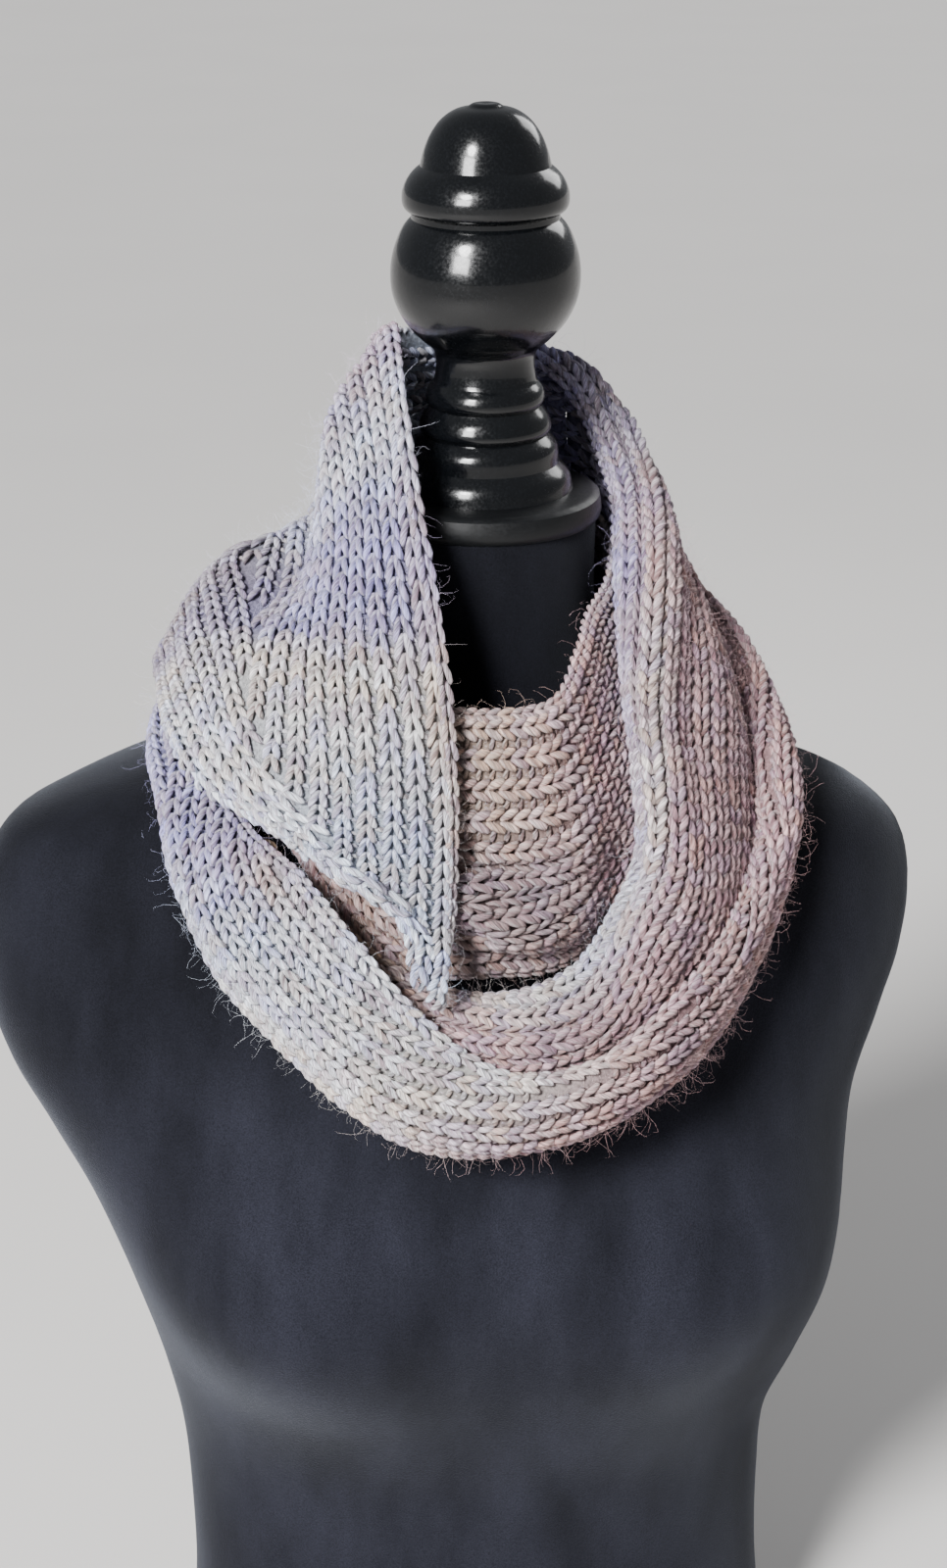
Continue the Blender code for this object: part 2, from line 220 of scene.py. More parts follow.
# Falls: places across the cloth from the free edge outwards, with x to the right and y to the back.
# Columns: x, y and z of the free, upper, middle, lower and edge places.
LEFT_FALL = [
    (-44, 28, 65, -67, 32, 22, -77, 34, -19, -97, 40, -38, -116, 48, -70),
    (-41, 16, 67, -68, 15, 28, -79, 10, -18, -120, 6, -38, -146, 2, -78),
    (-36, -25, 45, -66, -28, -2, -87, -20, -39, -124, -18, -49, -147, -14, -86),
    (-29, -62, 8, -58, -66, -24, -90, -54, -50, -124, -40, -66, -145, -27, -93),
    (-20, -88, -35, -54, -94, -52, -90, -82, -72, -120, -60, -86, -140, -42, -98),
    (-15, -104, -76, -48, -111, -87, -80, -106, -95, -104, -94, -102, -123, -78, -108),
    (-13, -118, -118, -36, -125, -118, -57, -127, -118, -74, -121, -118, -88, -110, -117),
    (-14, -131, -147, -26, -135, -143, -38, -136, -138, -52, -133, -132, -67, -126, -126),
    (-16, -140, -168, -19, -142, -163, -24, -142, -157, -29, -141, -151, -35, -138, -145),
    (-18, -147, -184, -20, -147, -181, -22, -147, -178, -25, -146, -174, -28, -145, -170),
]

LAPEL = [
    (-97, -80, -134, -99, -83, -138, -100, -85, -142, -101, -86, -146, -101, -86, -150),
    (-75, -94, -157, -82, -101, -163, -87, -106, -174, -88, -107, -187, -84, -102, -200),
    (-51, -111, -172, -55, -119, -175, -57, -125, -186, -56, -124, -200, -53, -116, -214),
    (-20, -115, -189, -22, -130, -188, -24, -139, -197, -23, -137, -211, -21, -128, -225),
    (10, -120, -189, 10, -140, -195, 11, -146, -206, 10, -141, -222, 9, -130, -236),
    (36, -113, -182, 42, -131, -193, 45, -139, -204, 44, -135, -217, 41, -125, -230),
    (54, -94, -163, 67, -118, -161, 75, -124, -176, 77, -118, -196, 74, -110, -214),
    (65, -88, -137, 72, -102, -130, 89, -104, -150, 98, -99, -169, 101, -90, -188),
    (63, -76, -101, 68, -88, -97, 91, -87, -119, 107, -79, -142, 116, -69, -161),
    (59, -60, -74, 64, -70, -70, 90, -65, -92, 108, -55, -114, 120, -44, -137),
    (57, -44, -50, 65, -51, -47, 95, -44, -73, 111, -34, -97, 119, -24, -125),
    (57, -17, -21, 72, -22, -19, 95, -17, -52, 108, -10, -79, 115, -2, -108),
    (57, 9, -7, 75, 4, -5, 89, 7, -37, 101, 11, -65, 110, 15, -95),
    (51, 36, 8, 67, 32, 13, 75, 36, -20, 84, 41, -51, 91, 45, -79),
]

# Each stretch runs between two rows of a turn. "inside" is how many ribs show on its inner side. Ribs "rib"
# wide follow the edges as the cloth narrows: the share "met" of them follows the upper edge, the others
# follow the lower edge, and those between are lost one by one. Where "rib" is 0, "columns" ribs share the
# width.
# Columns: name, columns, inside, turn, first row, last row, rib, met.
STRETCHES = [
    ("scarf_lapel", 9, 9, "high", 0, 14, 12.0, 1.0),
    ("scarf_back_high", 11, 11, "high", 14, 19, 0.0, 0.0),
    ("scarf_left_fall", 14, 14, "high", 19, 29, 10.8, 0.6),
    ("scarf_outer_band", 8, 4, "low", 0, 19, 10.8, 0.0),
    ("scarf_back_low", 6, 3, "low", 19, 26, 0.0, 0.0),
    ("scarf_neck_band", 9, 3, "neck", 0, 14, 0.0, 0.0),
]
# A stretch that the solids have in several nodes.
NODES = {"scarf_outer_band": ("scarf_outer_left", "scarf_outer_front", "scarf_outer_right")}

# Soft creases: where each one's middle lies along and across its stretch, its half length and half width,
# its depth (troughs below zero) and how far it slants from the knitting's run.
# Columns: along, across, half length, half width, depth, slant in degrees.
CREASES = {
    "scarf_left_fall": [
        (78, 96, 30, 10, -5.5, 20),
        (70, 128, 40, 13, 3.0, 8),
        (40, 118, 22, 8, -2.5, 30),
        (120, 30, 60, 9, 1.4, -4),
        (165, 66, 50, 9, -1.6, -14),
        (215, 52, 46, 9, -3.6, -26),
        (258, 30, 34, 7, -3.4, -24),
        (232, 74, 50, 10, 2.4, -26),
    ],
    "scarf_lapel": [
        (380, 48, 46, 13, -3.0, 6),
        (300, 34, 42, 9, 1.8, -8),
        (455, 70, 50, 10, 1.8, 12),
        (215, 46, 40, 8, -2.0, 9),
    ],
    "scarf_outer_band": [
        (330, 14, 70, 5, -1.4, 3),
        (250, 40, 80, 8, 1.6, -3),
        (470, 20, 60, 6, -1.8, 5),
        (150, 30, 55, 8, -1.4, -6),
    ],
    "scarf_back_low": [
        (90, 30, 60, 8, -1.8, 6),
        (150, 46, 50, 8, 1.6, -4),
    ],
    "scarf_back_high": [
        (60, 50, 60, 10, -2.2, 8),
        (120, 80, 40, 9, 1.8, -8),
    ],
    "scarf_neck_band": [
        (4, 90, 34, 10, 10.0, 22),
        (8, 67, 44, 8, -7.0, 22),
        (584, 83, 36, 10, 9.0, 22),
        (580, 60, 44, 8, -6.0, 22),
        (20, 108, 36, 6, -4.0, 10),
        (545, 30, 60, 8, 1.6, -6),
    ],
}

# A colour's line slants by this share of the stretch's length from its upper to its lower edge.
DYE_SLANT = {"scarf_left_fall": 0.25, "scarf_outer_band": 0.12}
# The dye along each stretch: where each colour is full, from 0 at its start to 1 at its end.
# Columns: along, colour.
DYE = {
    "scarf_left_fall": [
        (0.0, "lilac_grey"), (0.15, "lavender"), (0.3, "cool_white"), (0.42, "lavender"),
        (0.52, "lavender"), (0.575, "cream"), (0.8, "cool_white"), (1.25, "cool_white"),
    ],
    "scarf_back_high": [
        (0.0, "lavender"), (0.35, "lavender"), (0.7, "cool_white"), (1.0, "lilac_grey"),
    ],
    "scarf_lapel": [
        (0.0, "tan"), (0.16, "tan"), (0.24, "pink_beige"), (0.5, "pink_beige"), (0.8, "pink_beige"),
        (0.9, "lilac_grey"), (1.0, "lavender"),
    ],
    "scarf_outer_band": [
        (0.0, "lilac_grey"), (0.1, "lavender"), (0.28, "lavender"), (0.35, "cool_white"), (0.48, "cream"),
        (0.6, "pink_beige"), (0.9, "pink_beige"), (1.12, "lilac_grey"),
    ],
    "scarf_back_low": [
        (0.0, "lilac_grey"), (0.4, "cream"), (0.7, "lavender"), (1.0, "lilac_grey"),
    ],
    "scarf_neck_band": [
        (0.0, "warm_beige"), (0.12, "pink_beige"), (0.3, "lilac_grey"), (0.5, "cream"),
        (0.75, "pink_beige"), (1.0, "warm_beige"),
    ],
}

# Patches where another dye shows through: the middle and half size as shares of length and width.
# Columns: along, across, half along, half across, colour, strength.
TINTS = {
    "scarf_left_fall": [
        (0.22, 0.82, 0.13, 0.34, "lilac_grey", 0.9),
        (0.75, 0.0, 0.4, 0.07, "peach", 0.55),
        (0.12, 0.1, 0.12, 0.2, "pink_beige", 0.5),
        (0.62, 0.75, 0.1, 0.3, "cream", 0.5),
    ],
    "scarf_lapel": [
        (0.74, 0.0, 0.2, 0.11, "lavender", 0.9),
        (0.42, 0.02, 0.15, 0.22, "cool_white", 0.95),
        (0.3, 0.1, 0.08, 0.2, "cream", 0.8),
        (0.62, 0.2, 0.14, 0.08, "cream", 0.8),
        (0.36, 0.5, 0.05, 0.3, "mauve", 0.5),
        (0.6, 0.62, 0.22, 0.3, "mauve", 0.38),
        (0.92, 0.2, 0.1, 0.25, "lilac_grey", 0.6),
    ],
    "scarf_neck_band": [
        # At the neck band's lower front, under the falls, these mauve patches are deeper dye and also painted
        # shade.
        (0.0, 0.85, 0.13, 0.26, "mauve", 0.7),
        (1.0, 0.85, 0.08, 0.26, "mauve", 0.7),
        (0.0, 0.64, 0.09, 0.16, "mauve", 0.75),
        (1.0, 0.64, 0.09, 0.16, "mauve", 0.75),
    ],
    "scarf_outer_band": [
        (0.3, 0.1, 0.06, 0.16, "peach", 0.55),
        (0.66, 0.2, 0.08, 0.3, "mauve", 0.35),
    ],
}

# Strands of a stitch 10.5 wide and 6.6 high, each along its own middle line: a leg, a purl bar and a leg of
# the edge chain. Columns: x, y, z, radius.
STITCH_WIDE = 10.5
STITCH_HIGH = 6.6
LEG = [
    (0.5, -4.1, -2.0, 0.45),
    (0.8, -2.8, -0.5, 1.15),
    (1.45, -0.6, 0.7, 1.48),
    (2.3, 2.0, 1.05, 1.55),
    (3.1, 4.5, 0.4, 1.35),
    (3.5, 6.4, -1.4, 0.5),
]
PURL = [
    (-2.7, 1.4, -2.6, 0.5),
    (-1.5, 0.6, -1.4, 1.1),
    (0.0, 0.0, -0.9, 1.25),
    (1.5, -0.5, -1.4, 1.1),
    (2.7, -1.0, -2.6, 0.5),
]
CHAIN_LEG = [
    (0.45, -4.0, -1.9, 0.45),
    (0.75, -2.6, -0.3, 1.2),
    (1.3, -0.4, 0.8, 1.5),
    (2.0, 2.2, 1.05, 1.58),
    (2.6, 4.6, 0.3, 1.35),
    (2.85, 6.3, -1.4, 0.5),
]

# A stitch's kind is its row.
STITCH_KIT = [
    (LEG, 6, True, 1.0, 1.0, 0.0),
    (LEG, 6, True, 1.07, 0.95, 0.3),
    (LEG, 6, True, 0.93, 1.05, -0.25),
    (PURL, 5, False, 1.0, 1.0, 0.0),
    (CHAIN_LEG, 6, True, 1.0, 1.0, 0.0),
    (LEG[::2] + LEG[-1:], 5, True, 1.0, 1.0, 0.0),
]
RIB_KINDS = 3
NARROW_KIND = 1
PURL_KIND = 3
CHAIN_KIND = 4
INSIDE_KIND = 5

# A narrow stitch's width and plumpness beside a rib's, and how deep it lies (mm).
NARROW_WIDE = 0.72
NARROW_PLUMP = 0.9
NARROW_DEEP = 0.8
# The edge chain: its size, how much it faces out and sideways, and how far it is moved in each way (mm).
CHAIN_SIZE = 0.95
CHAIN_FACING = (0.86, 0.5)
CHAIN_MOVED = (1.0, 1.2)
CHAIN_FLANK = 2.0
# The plumpest and the leanest a stitch gets where its rib is wide or narrow.
PLUMP_RANGE = (0.6, 1.1)
# How light each sort of stitch is coloured, from its darkest to its lightest. Each stitch's tone differs at
# random; the purls and the inner stitches, lying deep, are also darkened as painted shade.
RIB_SHADE = (0.9, 1.1)
PURL_PAINTED_SHADE = (0.8, 0.95)
CHAIN_SHADE = (0.98, 1.12)
# The ground's outer and inner faces lie this far under the cloth's own (mm).
GROUND_DEEP = 1.5
GROUND_INSET = 0.5
# The gap at each end of a stretch that isn't a whole ring (mm).
END_GAP = 0.3
# Fine points along a turn and across a line of it, and how many rows a closed turn runs on before its start.
FINE_ALONG = 3001
FINE_ACROSS = 101
RUN_ON = 3
# Added to the width in ribs before it is cut to a whole number.
RIB_ROUNDING = 0.3

# What the yarn's second ply does to the dye, stitch by stitch. Columns: red, green, blue.
MARL_SHADES = [
    (1.0, 1.0, 1.0),
    (1.06, 1.05, 1.02),
    (1.0, 1.04, 1.14),
    (0.78, 0.72, 0.78),
    (0.92, 0.84, 0.76),
    (0.8, 0.8, 0.98),
]

# Stretches whose purls are felted over, so that narrow stitches show there, from a share across.
FELTED = {"scarf_lapel": 0.0, "scarf_neck_band": 0.55}

# Loose fibres: how far each bends and turns, and the line they all follow, as shares of their length.
# Columns: share of the bend, way back, share of the turn, rise, radius in millimetres.
FIBRES = {"fibre_0": (0.3, 0.15), "fibre_1": (0.75, -0.4), "fibre_2": (-0.5, 0.6)}
FIBRE_LINE = [
    (0.0, 0.0, 0.0, 0.0, 0.019),
    (0.0, -0.05, 0.25, 0.28, 0.019),
    (0.3, 0.0, 0.65, 0.5, 0.018),
    (0.75, 0.0, 0.8, 0.58, 0.015),
    (1.0, 0.0, 0.55, 0.5, 0.009),
]
FIBRE_SIDES = 3
# How far a fibre leans, its furthest turns about its three axes (radians, the first two times the lean), and
# its smallest and largest size.
FIBRE_LEAN = 1.1
FIBRE_TURNS = (1.0, 1.0, 3.14)
FIBRE_SCALE = (0.35, 1.25)

# Noises of the materials. Columns: scale, detail.
NOISES = {
    "marl": (1.5, 3.0),
    "fibre": (5.5, 2.0),
    "thread": (3.6, 2.0),
    "other_ply": (1.7, 1.0),
    "ground": (700.0, 3.0),
    "nap": (26.0, 4.0),
    "pile": (1400.0, 2.0),
    "ripple": (90.0, 2.0),
    "dust": (900.0, 4.0),
    "floor": (3.0, 2.0),
}
# How noises, grooves and heights darken or lighten. Columns: from, to, factor at each.
FACTORS = {
    "marl": (0.32, 0.68, 0.74, 1.14),
    # painted shade: the ply grooves darken the yarn's colour
    "groove": (-1.0, -0.2, 0.68, 1.0),
    "fibre": (0.3, 0.7, 0.86, 1.1),
    "thread": (0.38, 0.62, 0.62, 1.3),
    # painted shade: the purl ground is darkened, as it lies deep between the ribs
    "ground": (0.3, 0.7, 0.16, 0.36),
    # the nap's light and dark patches are brushed nap, shown as painted sheen in the colour
    "nap": (0.35, 0.75, 0.7, 1.7),
    "pile": (0.3, 0.7, 0.7, 1.4),
    # painted sheen: the velvet is painted lighter lower down the form, where its sheen catches the light
    "painted_sheen_low_down": (0.5, 0.32, 0.9, 2.2),
    "dust": (0.4, 0.8, 0.9, 1.8),
    "floor": (0.0, 1.0, 0.97, 1.03),
}
# The yarn: turns of its plies along a leg, grooves round it, how fast its noises run along a leg, how far a
# stitch's own tone moves them, where the darker ply begins and ends, and the threads' share of the bump.
PLY_TWIST = 1.15
PLY_GROOVES = 2.0
MARL_RUN = 1.3
THREAD_RUN = 0.2
TONE_SHIFT = 19.0
PLY_SPAN = (0.46, 0.6)
THREAD_BUMP = 3.0
# How light loose fibres are beside the dye, and how much lighter than that some are.
FIBRE_LIGHT = (0.95, 0.5)
# The velvet's nap runs down the form, and counts this much in the bump.
NAP_STRETCH = (1.0, 1.0, 0.35)
NAP_BUMP = 1.5
# Where dust dulls the lacquer, by how much at most, and each lacquer's own roughness.
DUST_SPAN = (0.35, 0.75)
DUST_DULL = 0.16
LACQUERS = {"gloss_lacquer": 0.15, "satin_lacquer": 0.4}

# Each material's even values, on the shader's own sockets.
SHADERS = {
    "plied_yarn": {"Roughness": 0.78, "Specular IOR Level": 0.25, "Sheen Roughness": 0.45},
    "purl_ground": {"Roughness": 0.95, "Specular IOR Level": 0.1},
    "loose_fibre": {"Roughness": 0.6, "Sheen Weight": 0.3},
    "black_velvet": {
        "Roughness": 0.95,
        "Specular IOR Level": 0.08,
        "Sheen Weight": 0.2,
        "Sheen Roughness": 0.38,
        "Sheen Tint": (0.62, 0.66, 0.75, 1.0),
    },
    "gloss_lacquer": {"Specular IOR Level": 0.3, "Coat Weight": 0.3, "Coat Roughness": 0.06},
    "satin_lacquer": {"Specular IOR Level": 0.3, "Coat Weight": 0.04, "Coat Roughness": 0.06},
    "pale_floor": {"Roughness": 0.9},
}
# Bumps of the materials. Columns: strength, depth in metres.
BUMPS = {
    "plied_yarn": (1.0, 0.0007),
    "purl_ground": (0.8, 0.0006),
    "black_velvet": (0.5, 0.0006),
    "gloss_lacquer": (0.26, 0.0009),
    "satin_lacquer": (0.26, 0.0009),
}

# Turned pieces: steps from one row of the outline to the next, steps round, and the gap that is closed at the
# middle (mm).
FINIAL_STEPS = (5, 96)
CAP_STEPS = (4, 128)
TURNED_MERGE = 0.01
# Edges sharper than this stay crisp (degrees).
TURNED_CRISP = 32.0
TORSO_CRISP = 50.0

# Studio lamps, with strength in watts (a sun in its own measure) and size in metres (a sun's spread in
# degrees).
# Columns: name, kind, strength, size, then x, y, z of where it stands and of where it points.
LAMPS = [
    ("sky_panel", "SUN", 5.6, 14.0, -1.3, -2.2, 2.3, 0.0, 0.0, 0.4),
    ("key_softbox", "AREA", 62.0, 0.6, -0.9, -1.5, 1.35, 0.0, 0.0, 0.5),
    ("rim_softbox", "AREA", 9.0, 0.7, 0.9, 1.1, 1.4, 0.0, 0.0, 0.5),
]
ROOM_COLOUR = (0.80, 0.82, 0.86, 1.0)

# The camera: half the picture's height and the focal length in the same unit, its place and its tilt.
HALF_PICTURE = 800.0
FOCAL_LENGTH = 2885.0
CAMERA_PLACE = (-0.0052, -1.209, 0.979)
CAMERA_TILT_DEG = 68.0
CAMERA_FAR = 80.0


def ring_points(row):
    """The places across the cloth of one ring row, as x, y, z."""
    angle = math.radians(row[0])
    return [(r * math.sin(angle), -r * math.cos(angle), z) for r, z in zip(row[1::2], row[2::2])]


def fall_points(row):
    return [row[i : i + 3] for i in range(0, len(row), 3)]


def slopes(knots, values):
    """Slopes for a smooth cubic through the values at uneven knots."""
    gaps = np.diff(knots)[:, None]
    rise = np.diff(values, axis=0) / gaps
    inner = (rise[:-1] * gaps[1:] + rise[1:] * gaps[:-1]) / (gaps[:-1] + gaps[1:])
    return np.concatenate([rise[:1], inner, rise[-1:]])


def smooth_through(values, where):
    """Points at the fractions in where along a smooth line through values (rows)."""
    values = np.asarray(values, float)
    flat = values.reshape(len(values), -1)
    steps = np.linalg.norm(np.diff(flat, axis=0), axis=1)
    knots = np.concatenate([[0.0], np.cumsum(np.maximum(steps, 1e-6))])
    knots /= knots[-1]
    slope = slopes(knots, flat)
    index = np.clip(np.searchsorted(knots, where, side="right") - 1, 0, len(knots) - 2)
    gap = knots[index + 1] - knots[index]
    t = ((where - knots[index]) / gap)[:, None]
    gap = gap[:, None]
    p0 = flat[index]
    p1 = flat[index + 1]
    m0 = slope[index] * gap
    m1 = slope[index + 1] * gap
    out = p0 * (2 * t**3 - 3 * t**2 + 1) + m0 * (t**3 - 2 * t**2 + t)
    out += p1 * (3 * t**2 - 2 * t**3) + m1 * (t**3 - t**2)
    return out.reshape((len(where),) + values.shape[1:])


class Turn:
    """One turn of the loop: a smooth surface through its rows, measured along its middle."""

    def __init__(self, rows, closed):
        rows = np.asarray(rows, float)
        self.closed = closed
        self.count = len(rows)
        if closed:
            rows = np.concatenate([rows[-RUN_ON:], rows, rows[: RUN_ON + 1]])
        self.fine = smooth_through(rows, np.linspace(0, 1, FINE_ALONG))
        middle = self.fine[:, rows.shape[1] // 2]
        self.run = np.concatenate([[0.0], np.cumsum(np.linalg.norm(np.diff(middle, axis=0), axis=1))])
        steps = np.linalg.norm(np.diff(rows.reshape(len(rows), -1), axis=0), axis=1)
        knots = np.concatenate([[0.0], np.cumsum(steps)])
        self.knots = np.interp(knots / knots[-1], np.linspace(0, 1, FINE_ALONG), self.run)

    def place(self, row):
        """Distance along the turn of a table row."""
        return self.knots[row + RUN_ON] if self.closed else self.knots[row]

    def line(self, along, across):
        """Points across the cloth at one distance along, evenly spaced by length."""
        at = np.interp(along, self.run, np.arange(len(self.run)))
        low = min(int(at), len(self.run) - 2)
        section = self.fine[low] + (self.fine[low + 1] - self.fine[low]) * (at - low)
        curve = smooth_through(section, np.linspace(0, 1, FINE_ACROSS))
        length = np.concatenate([[0.0], np.cumsum(np.linalg.norm(np.diff(curve, axis=0), axis=1))])
        even = np.linspace(0, length[-1], across + 1)
        return np.stack([np.interp(even, length, curve[:, k]) for k in range(3)], axis=1)


def unit(vectors):
    return vectors / np.maximum(np.linalg.norm(vectors, axis=-1, keepdims=True), 1e-9)


def turns_of_the_loop():
    high = [fall_points(row) for row in LAPEL]
    high += [ring_points(row) for row in BACK_HIGH]
    high += [fall_points(row) for row in LEFT_FALL]
    return {
        "high": Turn(high, False),
        "low": Turn([ring_points(row) for row in OUTER_BAND + BACK_LOW], True),
        "neck": Turn([ring_points(row) for row in NECK_BAND], True),
    }


def crease_depth(name, along, across):
    """How far the creases push the cloth out, at distances along and across it in millimetres."""
    depth = np.zeros_like(along)
    for at_along, at_across, half_length, half_width, deep, slant in CREASES[name]:
        c = math.cos(math.radians(slant))
        s = math.sin(math.radians(slant))
        x = along - at_along
        y = across - at_across
        a = (x * c + y * s) / half_length
        b = (y * c - x * s) / half_width
        depth += deep * np.exp(-(a**2) - b**2)
    return depth


class Cloth:
    """A stretch of the scarf as a fine grid: two steps for each knitted row, four for each column."""

    def __init__(self, turns, name, columns, inside, turn, first, last, rib, met, row_high):
        loop = turns[turn]
        self.name = name
        self.columns = columns
        self.inside = inside
        self.rib = rib
        self.met = met
        self.whole = loop.closed and last - first == loop.count
        start = loop.place(first)
        end = loop.place(last)
        self.rows = max(2, round((end - start) / row_high))
        gap = 0.0 if self.whole else END_GAP
        places = np.linspace(start + gap, end - gap, 2 * self.rows + 1)
        grid = np.array([loop.line(along, 4 * columns) for along in places])
        if self.whole:
            grid[-1] = grid[0]
        self.length = end - start
        wide = np.linalg.norm(np.diff(grid, axis=1), axis=2)
        self.across = np.concatenate([np.zeros((len(grid), 1)), np.cumsum(wide, axis=1)], axis=1)
        self.width = self.across[:, -1].mean()
        along = np.broadcast_to((places - start)[:, None], self.across.shape)
        grid = grid + self.normals(grid) * crease_depth(name, along, self.across)[:, :, None]
        grid[:, :, 2] += CAP_TOP
        self.points = grid * MM
        self.out = self.normals(grid)
        self.share = (places - start) / self.length

    def normals(self, grid):
        ahead = np.gradient(grid, axis=0)
        if self.whole:
            ahead[0] = ahead[-1] = (grid[1] - grid[-2]) / 2
        return unit(np.cross(np.gradient(grid, axis=1), unit(ahead)))

    def between(self, field, i, place):
        """A grid value at row place i, at a place across given as (share of the width, millimetres more)."""
        distance = place[0] * self.across[i, -1] + place[1]
        return np.array([np.interp(distance, self.across[i], field[i, :, k]) for k in range(3)])

    def spot(self, i, place):
        """Where a stitch lies, the way out, the way ahead and its length in millimetres."""
        low = max(i - 1, 0)
        high = min(i + 1, 2 * self.rows)
        step = self.between(self.points, high, place) - self.between(self.points, low, place)
        long = np.linalg.norm(step) / MM * 2 / (high - low)
        return self.between(self.points, i, place), unit(self.between(self.out, i, place)), unit(step), long

    def ribs(self, i):
        """Places across of the ribs at one row, those of the purls between them, and the ribs' width."""
        width = self.across[i, -1]
        if not self.rib:
            n = self.columns
            return [((k + 0.5) / n, 0.0) for k in range(n)], [(k / n, 0.0) for k in range(1, n)], width / n
        rib = self.rib
        n = max(1, int(width / rib + RIB_ROUNDING))
        upper = math.ceil(n * self.met)
        ribs = [(0.0, (k + 0.5) * rib) for k in range(upper)]
        ribs += [(1.0, -(k + 0.5) * rib) for k in range(n - upper)]
        purls = [(0.0, k * rib) for k in range(1, upper)]
        purls += [(1.0, -k * rib) for k in range(1, n - upper)]
        return ribs, purls, rib

    def fraction(self, i, place):
        """A place across as a share of the width."""
        return place[0] + place[1] / max(self.across[i, -1], 1.0)


def linear(colour):
    """A screen colour as light."""
    return tuple(c / 12.92 if c <= 0.04045 else ((c + 0.055) / 1.055) ** 2.4 for c in colour)


def dye_at(name, share, across, yarn):
    """The yarn's colour at shares of the way along and across a stretch."""
    share = np.asarray(share, float)
    across = np.asarray(across, float)
    places = [along for along, colour in DYE[name]]
    colours = np.array([linear(getattr(yarn, colour)) for along, colour in DYE[name]])
    at = share + DYE_SLANT.get(name, 0.0) * across
    dye = np.stack([np.interp(at, places, colours[:, k]) for k in range(3)], axis=-1)
    for along, over, half_along, half_across, colour, strength in TINTS.get(name, ()):
        far = ((share - along) / half_along) ** 2 + ((across - over) / half_across) ** 2
        mix = (strength * np.exp(-far))[..., None]
        dye = dye * (1 - mix) + np.array(linear(getattr(yarn, colour))) * mix
    return dye


def put(tree, kind, inputs=None, **settings):
    """Adds a node, sets it, and links or fills its inputs."""
    node = tree.nodes.new(kind)
    for key, value in settings.items():
        setattr(node, key, value)
    for key, value in (inputs or {}).items():
        if isinstance(value, bpy.types.NodeSocket):
            tree.links.new(value, node.inputs[key])
        else:
            node.inputs[key].default_value = value
    return node


def maths(tree, operation, first, second=0.0, third=0.0):
    return put(tree, "ShaderNodeMath", {0: first, 1: second, 2: third}, operation=operation).outputs[0]


def attribute(tree, name, output):
    return put(tree, "ShaderNodeAttribute", attribute_name=name).outputs[output]


def own_place(tree):
    """The piece's own coordinates."""
    return put(tree, "ShaderNodeTexCoord").outputs["Object"]


def noise(tree, place, name):
    scale, detail = NOISES[name]
    return put(tree, "ShaderNodeTexNoise", {"Vector": place, "Scale": scale, "Detail": detail}).outputs["Fac"]


def remapped(tree, value, low, high, factor_low, factor_high):
    ends = {"From Min": low, "From Max": high, "To Min": factor_low, "To Max": factor_high}
    return put(tree, "ShaderNodeMapRange", {"Value": value, **ends}).outputs[0]


def factor(tree, value, name):
    return remapped(tree, value, *FACTORS[name])


def product(tree, first, *others):
    for other in others:
        first = maths(tree, "MULTIPLY", first, other)
    return first


def plain_colour(tree, colour):
    node = put(tree, "ShaderNodeRGB")
    node.outputs[0].default_value = (*linear(colour), 1.0)
    return node.outputs[0]


def new_material(name):
    """A material with the table's even values on its shader."""
    material = bpy.data.materials.new(name)
    material.use_nodes = True
    tree = material.node_tree
    shader = tree.nodes["Principled BSDF"]
    for key, value in SHADERS[name].items():
        shader.inputs[key].default_value = value
    return material, tree, shader


def paint(tree, shader, colour, level):
    """Gives the shader a colour made lighter or darker by a level."""
    scaled = put(tree, "ShaderNodeVectorMath", {0: colour, "Scale": level}, operation="SCALE")
    tree.links.new(scaled.outputs[0], shader.inputs["Base Color"])


def roughen(tree, shader, name, height):
    """Gives the shader the bump that the table has for the material."""
    strength, distance = BUMPS[name]
    bump = put(tree, "ShaderNodeBump", {"Strength": strength, "Distance": distance, "Height": height})
    tree.links.new(bump.outputs[0], shader.inputs["Normal"])


